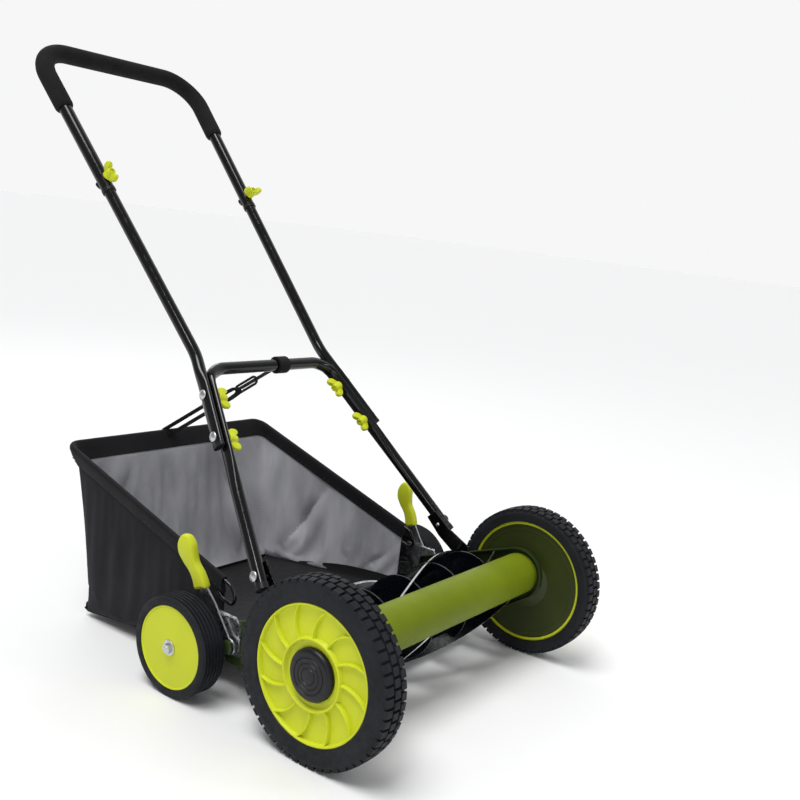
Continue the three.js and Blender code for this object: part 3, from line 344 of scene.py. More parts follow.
def combine(*parts):
    """Several (points, faces) pairs as one."""
    points, faces = [], []
    for part_points, part_faces in parts:
        start = len(points)
        points += list(part_points)
        faces += [tuple(i + start for i in face) for face in part_faces]
    return points, faces


def rings_to_mesh(rings, closed=True, capped=True):
    """Quads between rings of the same number of points."""
    count = len(rings[0])
    points = [p for ring in rings for p in ring]
    faces = []
    span = count if closed else count - 1
    for i in range(len(rings) - 1):
        for k in range(span):
            a, b = i * count + k, i * count + (k + 1) % count
            faces.append((a, b, b + count, a + count))
    if capped and closed:
        faces.append(tuple(range(count)))
        faces.append(tuple(len(points) - count + k for k in range(count)))
    return points, faces


def turned(profile, y, z, side=1, segments=96):
    """A profile of (|x|, radius) points turned about a line along X."""
    rings = []
    for i in range(segments):
        angle = 2 * math.pi * i / segments
        cos, sin = math.cos(angle), math.sin(angle)
        rings.append([(side * x, y + r * cos, z + r * sin) for x, r in profile])
    rings.append(rings[0])
    return rings_to_mesh(rings, closed=False, capped=False)


def prism(outline, x0, x1):
    """An outline of (y, z) points, extruded from x0 to x1."""
    return rings_to_mesh([[(x, y, z) for y, z in outline] for x in (x0, x1)])


def turned_between(start, end, profile, segments=32):
    """A profile of (share or mm along, radius) points turned about the line from start to end."""
    start, end = Vector(start), Vector(end)
    along = (end - start).normalized()
    side = along.orthogonal().normalized()
    third = along.cross(side)
    rings = []
    for i in range(segments + 1):
        angle = 2 * math.pi * i / segments
        spoke = side * math.cos(angle) + third * math.sin(angle)
        rings.append([tuple(start + along * a + spoke * r) for a, r in profile])
    return rings_to_mesh(rings, closed=False, capped=False)


def swept(route, radius, sides=24, capped=True):
    """A round tube along a list of points; radius may be a number or a function of the share."""
    route = [Vector(p) for p in route]
    size = radius if callable(radius) else lambda share: radius
    tangents = []
    for i in range(len(route)):
        before = route[max(i - 1, 0)]
        after = route[min(i + 1, len(route) - 1)]
        tangents.append((after - before).normalized())
    side = tangents[0].orthogonal().normalized()
    rings = []
    for i, point in enumerate(route):
        side = (side - tangents[i] * side.dot(tangents[i])).normalized()
        third = tangents[i].cross(side)
        reach = size(i / (len(route) - 1))
        ring = []
        for k in range(sides):
            angle = 2 * math.pi * k / sides
            ring.append(tuple(point + reach * (side * math.cos(angle) + third * math.sin(angle))))
        rings.append(ring)
    return rings_to_mesh(rings, capped=capped)


def rounded(corners, radii, steps=12):
    """Straight runs between corners, with each inner corner rounded."""
    corners = [Vector(c) for c in corners]
    route = [corners[0]]
    for before, corner, after, radius in zip(corners, corners[1:], corners[2:], radii):
        into, out = (before - corner).normalized(), (after - corner).normalized()
        half = into.angle(out) / 2
        reach = radius / math.tan(half)
        centre = corner + (into + out).normalized() * radius / math.sin(half)
        first, last = corner + into * reach - centre, corner + out * reach - centre
        sweep = math.pi - 2 * half
        for k in range(steps + 1):
            a = math.sin((1 - k / steps) * sweep) / math.sin(sweep)
            b = math.sin(k / steps * sweep) / math.sin(sweep)
            route.append(centre + first * a + last * b)
    route.append(corners[-1])
    return route


def smooth_outline(points, steps=6):
    """A closed Catmull-Rom curve through (y, z) points."""
    count = len(points)
    curve = []
    for i in range(count):
        p0, p1, p2, p3 = (Vector(points[(i + k) % count]) for k in (-1, 0, 1, 2))
        for k in range(steps):
            t = k / steps
            curve.append(
                0.5
                * (
                    2 * p1
                    + (p2 - p0) * t
                    + (2 * p0 - 5 * p1 + 4 * p2 - p3) * t * t
                    + (3 * p1 - 3 * p2 + p3 - p0) * t**3
                )
            )
    return [tuple(p) for p in curve]


def belt(circles, inset=0.0, step=math.radians(4)):
    """The outline of a belt round (y, z, radius) circles that follow each other anticlockwise."""
    angles = []
    for (y0, z0, r0), (y1, z1, r1) in zip(circles, circles[1:] + circles[:1]):
        gap = math.hypot(y1 - y0, z1 - z0)
        angles.append(math.atan2(z1 - z0, y1 - y0) - math.acos((r0 - r1) / gap))
    outline = []
    for (y, z, radius), start, end in zip(circles, angles[-1:] + angles[:-1], angles):
        sweep = (end - start) % (2 * math.pi)
        pieces = math.ceil(sweep / step)
        for k in range(pieces + 1):
            angle = start + sweep * k / pieces
            reach = radius - inset
            outline.append((y + reach * math.cos(angle), z + reach * math.sin(angle)))
    return outline


# ---------- dimensions shared with the frame ----------
FRONT_R, FRONT_OUTER, FRONT_WIDTH = 127.0, 292.0, 41.6
RIM_R, DRUM_R, STEP_X = 94.8, 104.2, 272.0
REAR_R, REAR_OUTER, REAR_WIDTH, REAR_Y = 75.0, 297.6, 39.3, 260.0
REAR_DISC_R = 61.4
PLATE_IN, PLATE_OUT, FLANGE_IN = 238.0, 241.0, 230.4
NOSE, LOBE, TAIL_LOW, TAIL_TOP = (3, 145, 44.5), (75, 105, 54), (196, 70, 12), (200, 112, 7)
TUBE_R, TUBE_WALL = 35.0, 1.6
REEL_Y, REEL_Z, REEL_R = 74.85, 105.05, 72.0
BLADE_DEPTH, BLADE_THICK, BLADE_END = 19.0, 3.0, 227.5
SLOPE = math.radians(46.9)
FOOT = (174.0, 205.7)
LEG_SPREAD, LEG_FOOT_X = 0.257, 222.5
LOWER_R, MIDDLE_R, UPPER_R, GRIP_R = 10.0, 9.6, 11.0, 15.5
NESTED = 0.64
JOINT_SPREAD = (LOWER_R + MIDDLE_R) * NESTED + 0.7
LEG_END, LEG_BOLT, LOW_JOINT, HIGH_JOINT = -34.0, -14.0, 207.0, 280.0
CROSSBAR, MIDDLE_END, MIDDLE_BEND = 329.0, 194.0, 356.0
SLEEVE_END, UPPER_BOLT, GRIP_START, HANDLE_TOP = 676.0, 698.0, 850.0, 984.0
TOP_X = 165.0
PIVOT = (190.0, 88.0)


def on_handle(x, s, n=0.0):
    """A point on the handle's plane: x across, s up the slope, n out of its upper face."""
    cos, sin = math.cos(SLOPE), math.sin(SLOPE)
    return Vector((x, FOOT[0] + s * cos - n * sin, FOOT[1] + s * sin + n * cos))


def leg_x(s):
    return LEG_FOOT_X - LEG_SPREAD * s


def beside_leg(s, out, side=1):
    unit = math.hypot(1, LEG_SPREAD)
    point = on_handle(leg_x(s) + out / unit, s + out * LEG_SPREAD / unit)
    point.x *= side
    return point


def middle_x(s):
    return leg_x(s) + JOINT_SPREAD * math.hypot(1, LEG_SPREAD)


def upper_x(s):
    foot = middle_x(MIDDLE_BEND)
    return foot + (s - MIDDLE_BEND) * (TOP_X - foot) / (GRIP_START - MIDDLE_BEND)


def smooth_step(value, low, high):
    t = min(max((value - low) / (high - low), 0), 1)
    return t * t * (3 - 2 * t)


def nested(points, centre):
    """Flattens a tube sideways where it lies beside the other one. centre is how far out it is."""
    cos, sin, unit = math.cos(SLOPE), math.sin(SLOPE), math.hypot(1, LEG_SPREAD)
    moved = []
    for px, py, pz in points:
        side = 1 if px > 0 else -1
        x, y, z = abs(px) - LEG_FOOT_X, py - FOOT[0], pz - FOOT[1]
        s, n = y * cos + z * sin, z * cos - y * sin
        along, out = (s - LEG_SPREAD * x) / unit, (x + LEG_SPREAD * s) / unit - centre
        beside = smooth_step(s, 110, 186) * (1 - smooth_step(s, 300, 330))
        beside *= 1 - smooth_step(abs(out), 11, 22)
        out = centre + out * (1 - beside * (1 - NESTED))
        x, s = (out - LEG_SPREAD * along) / unit, (along + LEG_SPREAD * out) / unit
        moved.append(tuple(on_handle(side * (LEG_FOOT_X + x), s, n * (1 + 0.2 * beside))))
    return moved


# ---------- front wheels ----------
LUG_ROWS, LUGS = 3, 54
RIB_COUNT = 12


def tread_lugs(side):
    """Rows of short rectangular lugs round the tyre, each row half a pitch behind the last."""
    inner = FRONT_OUTER - FRONT_WIDTH
    gap, root, top = 2.0, FRONT_R - 4.5, FRONT_R
    width = (FRONT_WIDTH - 2.4 - gap * (LUG_ROWS - 1)) / LUG_ROWS
    pitch = 2 * math.pi / LUGS
    parts = []
    for row in range(LUG_ROWS):
        x0 = inner + 1.2 + row * (width + gap)
        shoulder = row in (0, LUG_ROWS - 1)
        low = root - (3.5 if shoulder else 0.0)
        for i in range(LUGS):
            start = (i + 0.5 * (row % 2)) * pitch
            ring = []
            for x, r in ((x0, low), (x0 + 0.5, top), (x0 + width - 0.5, top), (x0 + width, low)):
                if shoulder and r == top and (x < inner + 3 or x > FRONT_OUTER - 3):
                    r -= 1.0
                ring.append((x, r))
            rings = []
            for share in (0.06, 0.43, 0.8):
                angle = start + share * pitch
                cos, sin = math.cos(angle), math.sin(angle)
                rings.append([(side * x, r * cos, FRONT_R + r * sin) for x, r in ring])
            parts.append(rings_to_mesh(rings))
    return combine(*parts)


def front_tyre(label, side):
    inner = FRONT_OUTER - FRONT_WIDTH
    base = FRONT_R - 4
    profile = [
        (inner, DRUM_R + 0.3),
        (inner + 0.4, 112),
        (inner, 117),
        (inner + 1.2, base - 2.4),
        (inner + 3, base - 0.6),
        (inner + 6, base),
        (FRONT_OUTER - 6, base),
        (FRONT_OUTER - 3, base - 0.6),
        (FRONT_OUTER - 1.2, base - 2.4),
        (FRONT_OUTER, 117),
        (FRONT_OUTER - 0.5, 110),
        (FRONT_OUTER - 0.3, 103),
        (FRONT_OUTER + 0.3, 98.4),
        (FRONT_OUTER - 0.2, 96),
        (FRONT_OUTER - 1.6, RIM_R + 0.2),
        (STEP_X + 0.3, RIM_R + 0.2),
        (STEP_X + 0.3, DRUM_R + 0.3),
        (inner, DRUM_R + 0.3),
    ]
    body = f"front_wheel_{label}"
    carcass = turned(profile, 0, FRONT_R, side, 128)
    piece(f"front_tyre_carcass_{label}", *carcass, "tyre", body, [f"front_tyre_{label}"])
    piece(f"front_tyre_lugs_{label}", *tread_lugs(side), "tyre", body, bevel=0.35)


def swirl_ribs(side):
    """Thin curved ribs from the hub ring to the rim, thicker at their foot."""
    parts = []
    for index in range(RIB_COUNT):
        rings = []
        for i in range(13):
            t = i / 12
            radius = 48 + t * 43.6
            angle = 2 * math.pi * (index + 0.86) / RIB_COUNT + 0.03 * t + 0.2 * t * t
            ring = []
            for x, half in ((283.5, 1.9), (289.2, 1.3), (289.8, 0.8)):
                ring.append((side * x, radius, angle + half / radius))
            for x, half in ((289.8, 0.8), (289.2, 1.3), (283.5, 1.9)):
                ring.append((side * x, radius, angle - half / radius))
            rings.append([(x, r * math.cos(a), FRONT_R + r * math.sin(a)) for x, r, a in ring])
        parts.append(rings_to_mesh(rings))
    return combine(*parts)


def ring_gear(side):
    """The drum's internal teeth, behind the fixed cover."""
    teeth, module = 62, 3
    pitch_r = teeth * module / 2
    toward_reel = math.atan2(REEL_Z - FRONT_R, REEL_Y)
    inner = []
    for i in range(teeth):
        middle = toward_reel + (2 * i + 1) * math.pi / teeth
        corners = ((pitch_r + 3, -2.5), (pitch_r - 2.4, -1.1), (pitch_r - 2.4, 1.1), (pitch_r + 3, 2.5))
        for radius, half in corners:
            angle = middle + half / radius
            inner.append((radius * math.cos(angle), FRONT_R + radius * math.sin(angle)))
    outer = []
    for y, z in inner:
        angle = math.atan2(z - FRONT_R, y)
        outer.append((102 * math.cos(angle), FRONT_R + 102 * math.sin(angle)))
    rings = []
    for x, outline in ((259.5, outer), (259.5, inner), (270, inner), (270, outer)):
        rings.append([(side * x, y, z) for y, z in outline])
    return rings_to_mesh(rings + rings[:1], capped=False)


def front_wheel(label, side):
    web, wall = 284.0, DRUM_R - 5
    profile = [
        (254.6, wall),
        (254, wall + 0.8),
        (254, DRUM_R - 0.8),
        (254.8, DRUM_R),
        (STEP_X, DRUM_R),
        (STEP_X, RIM_R),
        (290.4, RIM_R),
        (291, RIM_R - 0.6),
        (291, RIM_R - 2.4),
        (290.4, RIM_R - 3.1),
        (284.6, RIM_R - 4),
        (web, RIM_R - 5),
        (web, 51),
        (284.6, 50.2),
        (290.2, 49.6),
        (291, 48.8),
        (291, 47.2),
        (290.2, 46.4),
        (285.2, 45.2),
        (284.6, 44.4),
        (284.6, 38),
        (web, 37.6),
        (web, 8.3),
        (259.5, 8.3),
        (259.5, 17),
        (280, 19),
        (280, RIM_R - 4),
        (269.5, RIM_R - 3),
        (269.5, wall),
        (254.6, wall),
    ]
    body = f"front_wheel_{label}"
    disc = combine(turned(profile, 0, FRONT_R, side, 160), swirl_ribs(side), ring_gear(side))
    wheel = piece(f"front_wheel_disc_{label}", *disc, "lime_plastic", body, [f"front_wheel_{label}"])
    wheel.data.set_sharp_from_angle(angle=math.radians(50))
    cap = [
        (284.8, 34),
        (284.8, 36.2),
        (288.4, 36),
        (290.6, 35.2),
        (292.4, 33.6),
        (293.6, 31),
        (293.9, 29),
    ]
    for radius, depth in ((24.5, 0.9), (17.5, 0.8), (11, 0.8)):
        x = 293.9 + (32 - radius) * 0.05
        cap += [(x, radius + 1.1), (x - depth, radius + 0.5), (x - depth, radius - 0.5)]
        cap += [(x + 0.05, radius - 1.1)]
    cap += [(295.6, 6), (295.8, 0), (291, 0), (291, 34), (284.8, 34)]
    dome = turned(cap, 0, FRONT_R, side, 96)
    piece(f"hub_cap_dome_{label}", *dome, "black_plastic", body, [f"hub_cap_{label}"])


def gear_cover(label, side):
    profile = [
        (241.3, 10),
        (241.3, 26),
        (254.6, 43),
        (255.3, 44.5),
        (255.5, 46),
        (255.5, 88),
        (255.1, 88.6),
        (255.1, 90.2),
        (255.5, 90.8),
        (255.5, 98.2),
        (255.9, 99.6),
        (257, 100),
        (257, 46),
        (243.3, 27),
        (243.3, 10),
        (241.3, 10),
    ]
    dish = turned(profile, 0, FRONT_R, side, 128)
    nodes = [f"gear_cover_{label}"]
    # The dish gets the olive paint darkened with painted shade, as if it always sat in the tyre's
    # shadow.
    piece(f"gear_cover_dish_{label}", *dish, "dark_olive", "mower_frame", nodes, sharp=20)


# ---------- rear wheels and height levers ----------
def rear_wheel(label, side):
    inner = REAR_OUTER - REAR_WIDTH
    profile = [(inner, 15), (inner + 4, 18), (inner + 4, 56), (inner, 60), (inner, REAR_R - 5)]
    profile += [(inner + 0.8, REAR_R - 2.2), (inner + 2.6, REAR_R - 0.5)]
    grooves = 6
    start, end = inner + 4.5, REAR_OUTER - 4.5
    pitch = (end - start) / (grooves - 1)
    for i in range(grooves):
        x = start + i * pitch
        groove = REAR_R - 2.6
        profile += [(x - 1.5, REAR_R), (x - 0.8, groove), (x + 0.8, groove), (x + 1.5, REAR_R)]
    profile += [(REAR_OUTER - 2.6, REAR_R - 0.5), (REAR_OUTER - 0.8, REAR_R - 2.2)]
    profile += [(REAR_OUTER, REAR_R - 5), (REAR_OUTER + 0.2, 66), (REAR_OUTER, REAR_DISC_R + 0.9)]
    profile += [(REAR_OUTER - 1, REAR_DISC_R + 0.25), (REAR_OUTER - 7, REAR_DISC_R + 0.25)]
    profile += [(REAR_OUTER - 7, 6.3), (inner, 6.3), (inner, 15)]
    body = f"rear_wheel_{label}"
    tyre = turned(profile, REAR_Y, REAR_R, side, 112)
    piece(f"rear_tyre_ribbed_{label}", *tyre, "tyre", body, [f"rear_tyre_{label}"], sharp=28)
    face = REAR_OUTER - 2.5
    profile = [
        (REAR_OUTER - 6.7, 6.3),
        (REAR_OUTER - 6.7, REAR_DISC_R),
        (REAR_OUTER - 1.3, REAR_DISC_R),
        (REAR_OUTER - 0.9, REAR_DISC_R - 0.5),
        (REAR_OUTER - 1.2, REAR_DISC_R - 1.8),
        (face, REAR_DISC_R - 3),
        (face + 0.5, 30),
        (face + 0.7, 16),
        (REAR_OUTER - 1.3, 14),
        (REAR_OUTER - 1.3, 6.3),
        (REAR_OUTER - 6.7, 6.3),
    ]
    disc = turned(profile, REAR_Y, REAR_R, side, 112)
    piece(f"rear_disc_face_{label}", *disc, "lime_plastic", body, [f"rear_disc_{label}"], sharp=45)


def hexagon(y, z, radius):
    angles = [k * math.pi / 3 for k in range(6)]
    return [(y + radius * math.cos(a), z + radius * math.sin(a)) for a in angles]


LEAN_FROM, LEAN, LEVER_ANGLE = 64.0, 0.13, math.radians(52)


def lean_out(points, side):
    """The lever leans outwards above its notches."""
    cos, sin = math.cos(LEVER_ANGLE), math.sin(LEVER_ANGLE)
    leaned = []
    for x, y, z in points:
        along = (y - PIVOT[0]) * cos + (z - PIVOT[1]) * sin
        leaned.append((side * (x + max(0, along - LEAN_FROM) * LEAN), y, z))
    return leaned


def on_lever(along, across):
    cos, sin = math.cos(LEVER_ANGLE), math.sin(LEVER_ANGLE)
    return (PIVOT[0] + along * cos - across * sin, PIVOT[1] + along * sin + across * cos)


def height_lever(label, side):
    body = f"height_lever_{label}"
    arm = prism(belt([(*PIVOT, 12.5), (REAR_Y, REAR_R, 11)]), side * 248, side * 251)
    strips = []
    for low, high in ((0, LEAN_FROM), (LEAN_FROM, 94)):
        outline = [on_lever(low, -8), on_lever(high, -8), on_lever(high, 8), on_lever(low, 8)]
        points, faces = prism(outline, 248, 251)
        strips.append((lean_out(points, side), faces))
    stub = [(250.4, 0), (250.4, 6), (REAR_OUTER - 1, 6), (REAR_OUTER - 1, 11.6)]
    stub += [(REAR_OUTER + 0.4, 11.6), (REAR_OUTER + 0.7, 11.2), (REAR_OUTER + 0.7, 0)]
    tip = [(REAR_OUTER + 5, 0), (REAR_OUTER + 5, 4), (REAR_OUTER + 6.4, 3.6), (REAR_OUTER + 7, 2)]
    tip += [(REAR_OUTER + 7, 0)]
    nut = prism(hexagon(REAR_Y, REAR_R, 7.4), side * (REAR_OUTER + 0.7), side * (REAR_OUTER + 5.6))
    axle = [turned(p, REAR_Y, REAR_R, side, 48) for p in (stub, tip)]
    steel = combine(arm, *strips, *axle, nut)
    piece(f"height_lever_steel_{label}", *steel, "zinc", body, [f"height_lever_{label}"], bevel=0.5)
    edge = [
        (236, 163.5),
        (247, 158),
        (259, 154),
        (264, 168),
        (270, 179),
        (281, 190),
        (290.5, 203),
        (292, 219),
        (284, 233),
        (271, 235),
        (261, 224),
        (258, 209),
        (255, 197),
        (244, 183),
    ]
    outline = smooth_outline(edge)
    points, faces = grip_solid(outline)
    name = f"lever_grip_paddle_{label}"
    grip = piece(name, lean_out(points, side), faces, "lime_plastic", body, [f"lever_grip_{label}"])
    grip.data.set_sharp_from_angle(angle=math.radians(60))


def grip_solid(outline):
    """A pillow-shaped paddle: rings that shrink towards both faces."""
    centre = Vector((sum(y for y, z in outline), sum(z for y, z in outline))) / len(outline)
    rings = []
    for k in range(9):
        angle = math.pi * (k / 8 - 0.5)
        shrink = 0.9 + 3.6 * (1 - math.cos(angle))
        x = 249.5 + 6.6 * math.sin(angle)
        ring = []
        for i, (y, z) in enumerate(outline):
            before, after = Vector(outline[i - 1]), Vector(outline[(i + 1) % len(outline)])
            edge = (after - before).normalized()
            inward = Vector((-edge.y, edge.x))
            if inward.dot(centre - Vector((y, z))) < 0:
                inward = -inward
            ring.append((x, y + inward.x * shrink, z + inward.y * shrink))
        rings.append(ring)
    return rings_to_mesh(rings)


# ---------- frame: plates, tube, bars ----------
def side_plate(label, side):
    circles = [NOSE, LOBE, TAIL_LOW, TAIL_TOP]
    outer, inner = belt(circles), belt(circles, 2.4)
    stations = [
        (PLATE_OUT, belt(circles, 6)),
        (PLATE_OUT, belt(circles, 1.6)),
        (PLATE_OUT - 0.5, belt(circles, 0.5)),
        (PLATE_OUT - 1.6, outer),
        (FLANGE_IN + 0.4, outer),
        (FLANGE_IN, belt(circles, 0.5)),
        (FLANGE_IN, belt(circles, 1.9)),
        (FLANGE_IN + 0.4, inner),
        (PLATE_IN, inner),
        (PLATE_IN, belt(circles, 6)),
    ]
    pan = rings_to_mesh([[(side * x, y, z) for y, z in outline] for x, outline in stations])
    stud = turned(
        [(PLATE_OUT, 7), (252.6, 7), (252.6, 11), (254.4, 10.8), (256, 8.6), (256.6, 5), (256.6, 0)],
        *PIVOT,
        side,
        40,
    )
    along = [(236.0, -100.0), (236.0, -74.0)]
    along += [(leg_x(s0) - LOWER_R - 2.3, s) for s0, s in ((-24, -34), (4, 4))]
    bar = []
    for half in (-16.0, 16.0):
        ring = []
        for thick, stations in ((-2, along), (2, reversed(along))):
            for x, s in stations:
                narrow = 1 - 0.4 * (max(s, -74) + 74) / 88
                ring.append(on_handle(side * (x + thick), s, half * narrow))
        bar.append([tuple(p) for p in ring])
    name = f"side_plate_pan_{label}"
    nodes = [f"side_plate_{label}"]
    piece(name, *combine(pan, stud), "green_paint", "mower_frame", nodes, sharp=40)
    bracket = rings_to_mesh(bar)
    piece(f"handle_bracket_{label}", *bracket, "black_paint", "mower_frame", bevel=0.8)


def front_tube():
    """A rolled section, open behind where the reel turns inside its edges."""
    reach = REEL_R + 3
    gap = math.hypot(REEL_Y - NOSE[0], REEL_Z - NOSE[1])
    toward = math.atan2(REEL_Z - NOSE[1], REEL_Y - NOSE[0])
    half = math.acos((TUBE_R**2 + gap**2 - reach**2) / (2 * TUBE_R * gap))
    start, sweep, steps = toward + half, 2 * (math.pi - half), 72
    outline = []
    for k in range(steps + 1):
        angle = start + sweep * k / steps
        outline.append((NOSE[0] + TUBE_R * math.cos(angle), NOSE[1] + TUBE_R * math.sin(angle)))
    inner = TUBE_R - TUBE_WALL
    for k in reversed(range(steps + 1)):
        angle = start + sweep * k / steps
        outline.append((NOSE[0] + inner * math.cos(angle), NOSE[1] + inner * math.sin(angle)))
    end = PLATE_IN - 0.3
    piece("front_tube_shell", *prism(outline, -end, end), "olive_paint", "mower_frame", ["front_tube"])


def tie_rod():
    end = PLATE_IN - 0.3
    rod = turned([(-end, 0), (-end, 6), (end, 6), (end, 0)], 176, 69, 1, 32)
    piece("tie_rod_round", *rod, "black_paint", "mower_frame", ["rear_tie_rod"])


# ---------- reel ----------
def reel_angle(x):
    return math.radians(106) - math.radians(0.30) * x


def reel_blade(index):
    """A helical blade. Its outer edge is ground bright on a bevel."""
    points, faces = [], []
    steps = 90
    half = BLADE_THICK / 2
    section = [(REEL_R - BLADE_DEPTH, -half), (REEL_R - BLADE_DEPTH, half), (REEL_R - 3.2, half)]
    section += [(REEL_R - 0.1, half - 0.2), (REEL_R - 0.1, -half)]
    for i in range(steps + 1):
        x = -BLADE_END + 2 * BLADE_END * i / steps
        angle = reel_angle(x) + 2 * math.pi * index / 5
        cos, sin = math.cos(angle), math.sin(angle)
        for radius, offset in section:
            points.append(
                (x, REEL_Y + radius * cos - offset * sin, REEL_Z + radius * sin + offset * cos)
            )
    count = len(section)
    for i in range(steps):
        for k in range(count):
            a, b = i * count + k, i * count + (k + 1) % count
            faces.append((a, b, b + count, a + count))
    faces += [tuple(range(count)), tuple(steps * count + k for k in range(count))]
    name = f"reel_blade_ground_{index + 1}"
    nodes = [f"reel_blade_{index + 1}"]
    blade = piece(name, points, faces, "reel_steel", "reel", nodes, more=["honed_steel"])
    ground = (REEL_R - 3.4) * MM
    centre = at(0, REEL_Y, REEL_Z)
    for polygon in blade.data.polygons:
        if len(polygon.vertices) != 4:
            continue
        spokes = [blade.data.vertices[v].co - centre for v in polygon.vertices]
        if min(math.hypot(s.y, s.z) for s in spokes) > ground:
            polygon.material_index = 1


def reel_core():
    shaft_line = [(-271, 0), (-271, 7.4), (-270.4, 8), (270.4, 8), (271, 7.4), (271, 0)]
    shaft = turned(shaft_line, REEL_Y, REEL_Z, 1, 40)
    discs = []
    for step in range(-2, 3):
        x = step * 92
        profile = [(x - 1.5, 8), (x - 1.5, 65.6), (x - 1.1, 66), (x + 1.1, 66), (x + 1.5, 65.6)]
        profile += [(x + 1.5, 20), (x + 4, 17), (x + 4, 8)]
        discs.append(turned(profile, REEL_Y, REEL_Z, 1, 80))
    piece("reel_core", *combine(shaft, *discs), "reel_steel", "reel", ["reel_shaft"])


# ---------- handle ----------
def tube(name, route, radius, material, nodes, **options):
    points, faces = swept(route, radius, **options)
    return piece(name, points, faces, material, "mower_frame", nodes, sharp=50)


def handle():
    half = leg_x(CROSSBAR)
    corners = [on_handle(-leg_x(LEG_END), LEG_END), on_handle(-half, CROSSBAR)]
    corners += [on_handle(half, CROSSBAR), on_handle(leg_x(LEG_END), LEG_END)]
    points, faces = swept(fine(rounded(corners, [45, 45]), 5), LOWER_R)
    points = [tuple(p) for p in nested(points, 0)]
    nodes = ["lower_handle"]
    piece("lower_handle_tube", points, faces, "black_paint", "mower_frame", nodes, sharp=50)
    for label, side in SIDES.items():
        top = SLEEVE_END + 60
        corners = [on_handle(side * middle_x(MIDDLE_END), MIDDLE_END)]
        corners += [on_handle(side * middle_x(MIDDLE_BEND), MIDDLE_BEND)]
        corners += [on_handle(side * upper_x(top), top)]
        name = f"middle_tube_round_{label}"
        points, faces = swept(fine(rounded(corners, [110]), 5), MIDDLE_R)
        points = nested(points, JOINT_SPREAD)
        nodes = [f"middle_tube_{label}"]
        piece(name, points, faces, "black_paint", "mower_frame", nodes, sharp=50)
    tube("upper_handle_tube", upper_route(SLEEVE_END), UPPER_R, "black_paint", ["upper_handle"])
    ease = 0.012

    def grip_radius(share):
        edge = min(share, 1 - share)
        return GRIP_R if edge > ease else GRIP_R - 2.5 * (1 - edge / ease) ** 2

    grip_line = fine(upper_route(GRIP_START), 3)
    foam = tube("foam_grip_sleeve", grip_line, grip_radius, "foam", ["foam_grip"])


def upper_route(start):
    corners = []
    for side in (-1, 1):
        ends = [on_handle(side * upper_x(s), s) for s in (start, HANDLE_TOP)]
        corners += ends if side < 0 else reversed(ends)
    return rounded(corners, [62, 62], 20)


def fine(route, step):
    """The same route with a point at least every step millimetres."""
    points = [route[0]]
    for start, end in zip(route, route[1:]):
        pieces = max(1, math.ceil((end - start).length / step))
        points += [start.lerp(end, k / pieces) for k in range(1, pieces + 1)]
    return points


def carriage_bolt(name, seat, toward, length, node):
    """A domed head at the seat, and a shank with a rounded tip."""
    profile = [(-3.6, 0), (-3.4, 2.4), (-2.7, 5), (-1.5, 7.2), (-0.7, 8), (0, 8), (0, 3)]
    profile += [(length - 0.6, 3), (length, 2.4), (length, 0)]
    bolt = turned_between(seat, toward, profile)
    return piece(name, *bolt, "zinc", "mower_frame", [node], sharp=55)


def wing_knob(name, seat, toward, wing, body, node):
    """A boss with a collar and two fat rounded wings."""
    seat, toward = Vector(seat), Vector(toward)
    along = (toward - seat).normalized()
    wing = (wing - along * wing.dot(along)).normalized()
    third = along.cross(wing)
    half = [(7, 0.4), (12, 2), (17.5, 7), (19, 13), (17.5, 18.5), (13.5, 20.4), (9.5, 18), (6, 12.5)]
    outline = smooth_outline(half + [(0, 11.5)] + [(-a, b) for a, b in reversed(half)] + [(0, 0.4)], 5)
    rings = []
    for k in range(7):
        angle = math.pi * (k / 6 - 0.5)
        shrink, out = 1 - 0.13 * (1 - math.cos(angle)), 3.6 * math.sin(angle)
        ring = [
            seat + wing * a * shrink + along * (10 + (b - 10) * shrink) + third * out
            for a, b in outline
        ]
        rings.append([tuple(p) for p in ring])
    profile = [(0, 3.4), (0, 8), (1, 8.4), (2.6, 8.4), (3.4, 7.8), (11, 7), (14.6, 6.6), (16, 5.6)]
    profile += [(16, 4.2), (13, 3.8), (13, 0)]
    boss = turned_between(seat, toward, profile)
    return piece(name, *combine(rings_to_mesh(rings), boss), "lime_plastic", body, [node], sharp=60)


def joints():
    up_slope = on_handle(0, 1) - on_handle(0, 0)
    for label, side in SIDES.items():
        for place, s in (("low", LOW_JOINT), ("high", HIGH_JOINT)):
            seat = beside_leg(s, JOINT_SPREAD + MIDDLE_R * NESTED + 0.5, side)
            knob_seat = beside_leg(s, -LOWER_R * NESTED - 0.5, side)
            length = (seat - knob_seat).length + 12
            node = f"joint_bolt_{place}_{label}"
            carriage_bolt(f"joint_bolt_head_{place}_{label}", seat, knob_seat, length, node)
            inward = beside_leg(s, -60, side)
            node = f"joint_knob_{place}_{label}"
            wing_knob(f"joint_knob_wing_{place}_{label}", knob_seat, inward, up_slope, node, node)
        x = side * upper_x(UPPER_BOLT)
        ends = [on_handle(x, UPPER_BOLT, n) for n in (-UPPER_R - 1, 0, UPPER_R + 1, 40)]
        upper_node = f"upper_bolt_{label}"
        carriage_bolt(f"upper_bolt_head_{label}", ends[0], ends[1], 2 * UPPER_R + 14, upper_node)
        node = f"upper_knob_{label}"
        wing = Vector((1, 0, 0)) if label == "left" else up_slope
        wing_knob(f"upper_knob_wing_{label}", ends[2], ends[3], wing, node, node)
        seat = beside_leg(LEG_BOLT, LOWER_R + 0.5, side)
        node = f"leg_bolt_{label}"
        carriage_bolt(f"leg_bolt_head_{label}", seat, beside_leg(LEG_BOLT, 0, side), 30, node)
        tube_caps(label, side)


